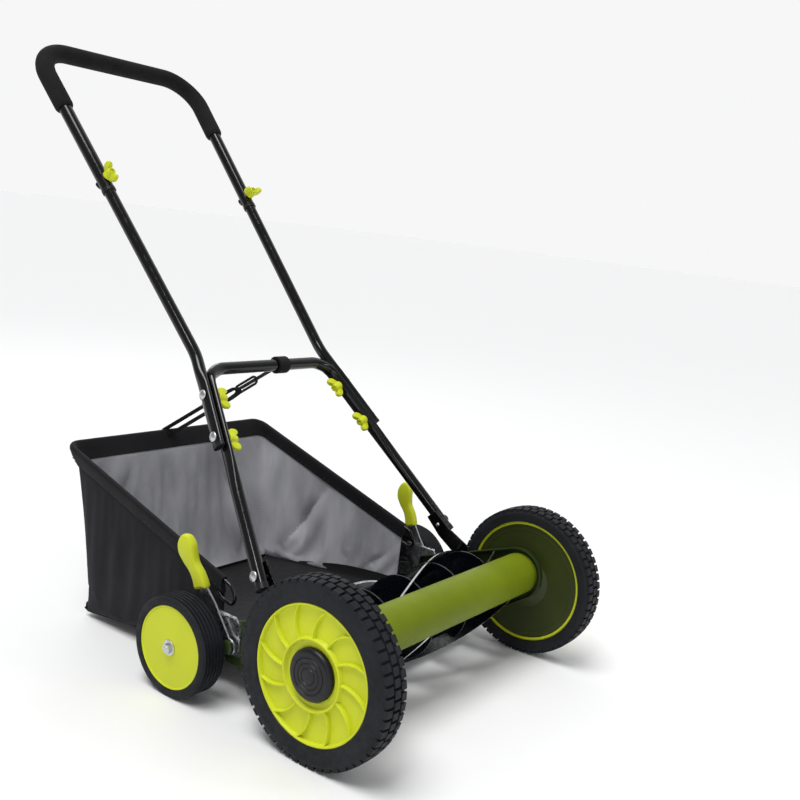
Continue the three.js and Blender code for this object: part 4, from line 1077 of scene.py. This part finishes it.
def tube_caps(label, side):
    """Black moulded caps on the tubes' ends."""
    parts = []
    foot = on_handle(side * middle_x(MIDDLE_END), MIDDLE_END)
    up = on_handle(side * middle_x(MIDDLE_END + 20), MIDDLE_END + 20)
    cap, faces = turned_between(foot, up, [(-1.2, 0), (-1.2, 8.6), (-0.4, 9.8), (5, 9.9), (5.4, 9.4)])
    parts.append((nested(cap, JOINT_SPREAD), faces))
    foot = on_handle(side * leg_x(LEG_END), LEG_END)
    up = on_handle(side * leg_x(LEG_END + 20), LEG_END + 20)
    parts.append(turned_between(foot, up, [(-1.2, 0), (-1.2, 8.6), (-0.4, 10.5), (9, 10.7), (9.6, 10)]))
    foot = on_handle(side * upper_x(SLEEVE_END), SLEEVE_END)
    up = on_handle(side * upper_x(SLEEVE_END + 20), SLEEVE_END + 20)
    collar_line = [(-1.2, 9.7), (-1.2, 10.8), (-0.6, 11.5), (5, 11.6), (5.4, 11)]
    parts.append(turned_between(foot, up, collar_line))
    piece(f"tube_caps_{label}", *combine(*parts), "black_plastic", "mower_frame")


# ---------- grass bag ----------
BAG_HALF, WIRE_R = 219.0, 4.0
RIM_FRONT, RIM_REAR = (240.0, 166.0), (627.0, 283.0)
TRAY_LINE = [(169, 78.4), (184, 78), (204, 60), (240, 48), (300, 43), (440, 28), (558, 14)]
FLOOR_HALF, FLOOR_REAR = 214.0, 566.0
BAND = 21.0


def rim_z(y):
    share = (y - RIM_FRONT[0]) / (RIM_REAR[0] - RIM_FRONT[0])
    return RIM_FRONT[1] + share * (RIM_REAR[1] - RIM_FRONT[1])


def tray_z(y):
    for (y0, z0), (y1, z1) in zip(TRAY_LINE, TRAY_LINE[1:]):
        if y <= y1:
            return z0 + (z1 - z0) * (y - y0) / (y1 - y0)
    return TRAY_LINE[-1][1]


def u_route(half, rear, corner):
    """A U in plan round the bag, from its front left to its front right, at even steps."""
    front = RIM_FRONT[0]
    corners = [(half, front, 0), (half, rear, 0), (-half, rear, 0), (-half, front, 0)]
    path = fine(rounded(corners, [corner, corner], 10), 1.0)
    lengths = [0.0]
    for a, b in zip(path, path[1:]):
        lengths.append(lengths[-1] + (b - a).length)
    count = BAG_COLUMNS
    route, k = [], 0
    for i in range(count + 1):
        goal = lengths[-1] * i / count
        while k < len(lengths) - 2 and lengths[k + 1] < goal:
            k += 1
        share = (goal - lengths[k]) / (lengths[k + 1] - lengths[k])
        route.append(path[k].lerp(path[k + 1], share))
    return route


BAG_COLUMNS, BAG_ROWS = 200, 34


def slack(place, t):
    """Soft folds fanning down from the rear corners, fading out at the sewn edges."""
    fade = math.sin(math.pi * min(t, 1)) * min(1, (place.y - RIM_FRONT[0]) / 90)
    if place.y > FLOOR_REAR - 14:
        from_corner = FLOOR_HALF - abs(place.x)
        fade *= smooth_step(from_corner, 0, 60)
        fold = math.sin(from_corner * 0.045 + t * 3.6) + 0.6 * math.sin(from_corner * 0.083 - t * 5)
        fold += 2.4 * (1 - abs(math.sin(from_corner * 0.017 - t * 2.4))) ** 5
        return Vector((0, 6.5 * fade * fold, 0))
    from_corner = FLOOR_REAR - place.y
    fade *= smooth_step(from_corner, 0, 60)
    fold = math.sin(from_corner * 0.034 - t * 3.2) + 0.5 * math.sin(from_corner * 0.071 + t * 4)
    fold += 2.4 * (1 - abs(math.sin(from_corner * 0.016 - t * 2.2 - 0.4))) ** 5
    return Vector((6.5 * fade * fold if place.x > 0 else 1.0 * fade * fold, 0, 0))


def bag_cloth():
    """The bag's walls: one cloth, grey lining inside, slack enough to fold, sewn at its edges."""
    low = u_route(FLOOR_HALF, FLOOR_REAR, 12)
    high = u_route(BAG_HALF - 3, RIM_REAR[0] - 16, 16)
    rings = []
    for row in range(BAG_ROWS + 1):
        t = row / BAG_ROWS
        ring = []
        for a, b in zip(low, high):
            foot = Vector((a.x, a.y, tray_z(min(a.y, 557)) - 2.0))
            top = Vector((b.x, b.y, rim_z(b.y) - BAND + 1.5))
            ring.append(tuple(foot.lerp(top, t) + slack(a, t)))
        rings.append(ring)
    points, faces = rings_to_mesh(rings, closed=False, capped=False)
    cloth = piece(
        "bag_cloth",
        points,
        faces,
        "mesh_cloth",
        "grass_bag",
        ["bag_fabric"],
        more=["lining_cloth"],
    )
    columns = BAG_COLUMNS + 1
    pins = cloth.vertex_groups.new(name="pins")
    for index in range(len(cloth.data.vertices)):
        row, column = divmod(index, columns)
        if row in (0, BAG_ROWS - 1, BAG_ROWS) or column in (0, BAG_COLUMNS):
            pins.add([index], 1.0, "REPLACE")
    settle(cloth)
    shell = cloth.modifiers.new("thickness", "SOLIDIFY")
    shell.thickness = 1.1 * MM
    shell.offset = 0
    shell.material_offset = 1
    return cloth


SETTLE_FRAMES = 28


def settle(cloth):
    """Lets the slack cloth sag, then keeps its shape."""
    modifier = cloth.modifiers.new("cloth", "CLOTH")
    settings = modifier.settings
    settings.quality = 6
    settings.mass = 0.15
    settings.tension_stiffness = settings.compression_stiffness = 12
    settings.shear_stiffness = 5
    settings.bending_stiffness = 0.6
    settings.vertex_group_mass = "pins"
    settings.shrink_min = -0.006
    settings.air_damping = 3
    modifier.point_cache.frame_end = SETTLE_FRAMES + 2
    scene = bpy.context.scene
    for number in range(1, SETTLE_FRAMES + 1):
        scene.frame_set(number)
    settled = cloth.evaluated_get(bpy.context.evaluated_depsgraph_get()).to_mesh()
    places = [v.co.copy() for v in settled.vertices]
    cloth.modifiers.remove(modifier)
    scene.frame_set(1)
    for vertex, place in zip(cloth.data.vertices, places):
        vertex.co = place


def bag_binding():
    """A folded tape round the rim wire, sewn to the top of the walls."""
    rim = u_route(BAG_HALF, RIM_REAR[0], 20)
    seam = u_route(BAG_HALF - 3, RIM_REAR[0] - 16, 16)
    rings, stitches = [], []
    for i, (p, q) in enumerate(zip(rim, seam)):
        wire = Vector((p.x, p.y, rim_z(p.y)))
        foot = Vector((q.x, q.y, rim_z(q.y) - BAND))
        before, after = rim[max(i - 1, 0)], rim[min(i + 1, len(rim) - 1)]
        tangent = (after - before).normalized()
        tangent.z = tangent.y * (RIM_REAR[1] - RIM_FRONT[1]) / (RIM_REAR[0] - RIM_FRONT[0])
        tangent.normalize()
        down = (foot - wire).normalized()
        down = (down - tangent * down.dot(tangent)).normalized()
        out = tangent.cross(down)
        ripple = 0.5 * math.sin(i * 0.9) + 0.35 * math.sin(i * 0.37)
        ring = [foot + out * 2.8, wire + down * 10 + out * (4.2 + ripple * 0.5)]
        for k in range(9):
            angle = math.pi * k / 8
            ring.append(wire + out * (5.4 * math.cos(angle)) - down * (5.4 * math.sin(angle)))
        ring += [wire + down * 10 - out * (4.2 - ripple * 0.5), foot - out * 2.8]
        rings.append([tuple(v) for v in ring])
        if 0 < i < len(rim) - 1:
            for face in (1, -1):
                spot = wire + down * (BAND - 5) + out * face * (3.2 + ripple * 0.2)
                if i % 2 == 0:
                    stitches.append(swept([spot - tangent * 2.1, spot + tangent * 2.1], 0.45, 6))
    piece("bag_binding", *rings_to_mesh(rings), "binding", "grass_bag", sharp=60)
    piece("bag_stitching", *combine(*stitches), "thread", "grass_bag")


def bag_frame():
    corners = []
    wire_corners = (
        (-BAG_HALF, RIM_FRONT[0]),
        (-BAG_HALF, RIM_REAR[0]),
        (BAG_HALF, RIM_REAR[0]),
        (BAG_HALF, RIM_FRONT[0]),
    )
    for x, y in wire_corners:
        corners.append((x, y, rim_z(y)))
    wire = [swept(rounded(corners, [20, 20]), WIRE_R, 16)]
    for side in (1, -1):
        x = side * BAG_HALF
        front = RIM_FRONT[0]
        loop = [(x, front + 6, rim_z(front) + 2), (x, front - 14, rim_z(front) - 5)]
        loop += [(x, front - 26, rim_z(front) - 22), (x, front - 20, rim_z(front) - 34)]
        loop += [(x, front - 2, rim_z(front) - 30), (x, front + 10, rim_z(front) - 22)]
        wire.append(swept(rounded(loop, [10, 10, 8, 10], 6), 2.6, 12))
    piece("bag_frame_wire", *combine(*wire), "black_paint", "grass_bag", ["bag_frame"])


def bag_tray():
    """A moulded floor with side walls and a lip behind, on the bag's own cloth bottom."""
    half, thick, wall = FLOOR_HALF - 3, 2.5, 22.0
    line = smooth_line([*TRAY_LINE, (FLOOR_REAR - 3, 22)], 12)
    rings, under = [], []
    for y, z in line:
        rise = wall * smooth_step(y, 222, 262) * (1 - 0.8 * smooth_step(y, 330, 540))
        ring = [(-half, z - thick), (half, z - thick), (half, z + rise), (half - thick, z + rise)]
        ring += [(half - thick, z + 6), (half - thick - 2, z + 2), (half - thick - 6, z)]
        ring += [(-half + thick + 6, z), (-half + thick + 2, z + 2), (-half + thick, z + 6)]
        ring += [(-half + thick, z + rise), (-half, z + rise)]
        rings.append([(x, y, height) for x, height in ring])
        if y > 240:
            x, low = FLOOR_HALF - 0.5, min(z, 20 + (FLOOR_REAR - y)) - thick
            under.append([(-x, y, low - 1.6), (x, y, low - 1.6), (x, y, low - 0.4), (-x, y, low - 0.4)])
    piece("bag_tray_floor", *rings_to_mesh(rings), "tray_plastic", "grass_bag", ["bag_tray"])
    piece("bag_bottom_cloth", *rings_to_mesh(under), "mesh_cloth", "grass_bag")


def smooth_line(points, step):
    """An open Catmull-Rom curve through (y, z) points, ending on its first and last."""
    ends = [points[0], *points, points[-1]]
    curve = []
    for p0, p1, p2, p3 in zip(ends, ends[1:], ends[2:], ends[3:]):
        p0, p1, p2, p3 = Vector(p0), Vector(p1), Vector(p2), Vector(p3)
        pieces = max(2, round((p2 - p1).length / step))
        for k in range(pieces):
            t = k / pieces
            a, b = 2 * p0 - 5 * p1 + 4 * p2 - p3, 3 * p1 - 3 * p2 + p3 - p0
            curve.append(tuple(0.5 * (2 * p1 + (p2 - p0) * t + a * t * t + b * t**3)))
    curve.append(tuple(points[-1]))
    return curve


# ---------- bag strap ----------
COLLAR_IN, COLLAR_OUT = 14.0, 38.0
TONGUE, STRAP_WIDTH = 98.0, 14.0


def strap():
    start = Vector((-12, RIM_REAR[0], RIM_REAR[1]))
    end = on_handle((COLLAR_IN + COLLAR_OUT) / 2, CROSSBAR)
    along = (end - start).normalized()
    across = (Vector((1, 0, 0)) - along * along.x).normalized()
    up = across.cross(along)
    if up.z < 0:
        up = -up
    length = (end - start).length

    def band(route, width, thick):
        """A flat band along (u, v) points in the strap's plane."""
        rings = []
        for i, (u, v) in enumerate(route):
            before, after = route[max(i - 1, 0)], route[min(i + 1, len(route) - 1)]
            step = Vector((after[0] - before[0], after[1] - before[1])).normalized()
            normal = Vector((-step.y, step.x))
            ring = []
            for w, t in ((-1, -1), (1, -1), (1, 1), (-1, 1)):
                uu, vv = u + normal.x * t * thick / 2, v + normal.y * t * thick / 2
                ring.append(tuple(start + along * uu + up * vv + across * w * width / 2))
            rings.append(ring)
        return rings_to_mesh(rings)

    loop_r, far = 6.8, length - TONGUE - 8.6
    lower = [(far, loop_r - 1.2)]
    lower += [(u, loop_r) for u in range(int(far) - 20, 19, -20)]
    for k in range(13):
        angle = math.pi / 2 + math.pi * k / 12
        lower.append((loop_r * math.cos(angle), loop_r * math.sin(angle)))
    lower += [(u, -loop_r) for u in range(20, int(far), 20)] + [(far, -loop_r + 1.2)]
    ring = [(far, -loop_r + 1.2), (far + 5, -4), (far + 6.8, 0), (far + 5, 4), (far, loop_r - 1.2)]
    webbing = combine(band(lower, STRAP_WIDTH, 2.6), band(ring, STRAP_WIDTH, 2.6))
    piece("bag_strap_webbing", *webbing, "webbing", "grass_bag", ["bag_strap"])
    slider_at = far * 0.62
    slide = [(slider_at - 5, loop_r + 1.6), (slider_at + 5, loop_r + 1.6)]
    slide_low = [(slider_at - 5, -loop_r - 1.6), (slider_at + 5, -loop_r - 1.6)]
    slider = combine(band(slide, 20, 2.2), band(slide_low, 20, 2.2))
    piece("bag_strap_slider", *slider, "black_plastic", "grass_bag", bevel=0.6)
    hook = []
    for k in range(41):
        angle = 2 * math.pi * k / 40
        u = far + 26 + math.copysign(18, math.cos(angle)) + 6.5 * math.cos(angle)
        hook.append(start + along * u + up * 6.5 * math.sin(angle))
    piece("bag_strap_hook", *swept(hook, 2.2, 10), "black_plastic", "grass_bag")
    tongue = [(length - TONGUE + 2, 0), (length - 60, 0), (length - 14, 0)]
    upper = band(tongue, STRAP_WIDTH, 1.6)
    wrap = []
    for k in range(33):
        angle = 2 * math.pi * k / 32
        wrap.append((length + 12.2 * math.cos(angle), 12.2 * math.sin(angle)))
    collar = combine(
        upper,
        turned(
            [
                (COLLAR_IN, 10.3),
                (COLLAR_IN, 13.6),
                (COLLAR_IN + 1, 14.5),
                (COLLAR_OUT - 1, 14.5),
                (COLLAR_OUT, 13.6),
                (COLLAR_OUT, 10.3),
                (COLLAR_IN, 10.3),
            ],
            end.y,
            end.z,
            1,
            48,
        ),
    )
    piece("strap_collar_webbing", *collar, "webbing", "mower_frame", ["strap_collar"])


# ---------- CAD nodes that keep their own shape ----------
def dress_cad_nodes():
    finishes = {
        "bed_knife": "honed_steel",
        "cutter_bar": "black_paint",
        "front_axle": "zinc",
        "reel_bearing": "zinc",
        "height_quadrant": "zinc",
        "pinion": "zinc",
    }
    for name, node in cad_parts.items():
        key = finishes.get(name.replace("_left", "").replace("_right", ""))
        if key and not node.hide_render:
            node.data.materials.clear()
            node.data.materials.append(MATERIALS[key])


# ---------- the whole scene ----------
bpy.context.scene.view_settings.view_transform = "Standard"
add_camera()
add_studio()
for label, side in SIDES.items():
    front_tyre(label, side)
    front_wheel(label, side)
    gear_cover(label, side)
    rear_wheel(label, side)
    height_lever(label, side)
    side_plate(label, side)
front_tube()
tie_rod()
for index in range(5):
    reel_blade(index)
reel_core()
handle()
joints()
bag_cloth()
bag_binding()
bag_frame()
bag_tray()
strap()
dress_cad_nodes()
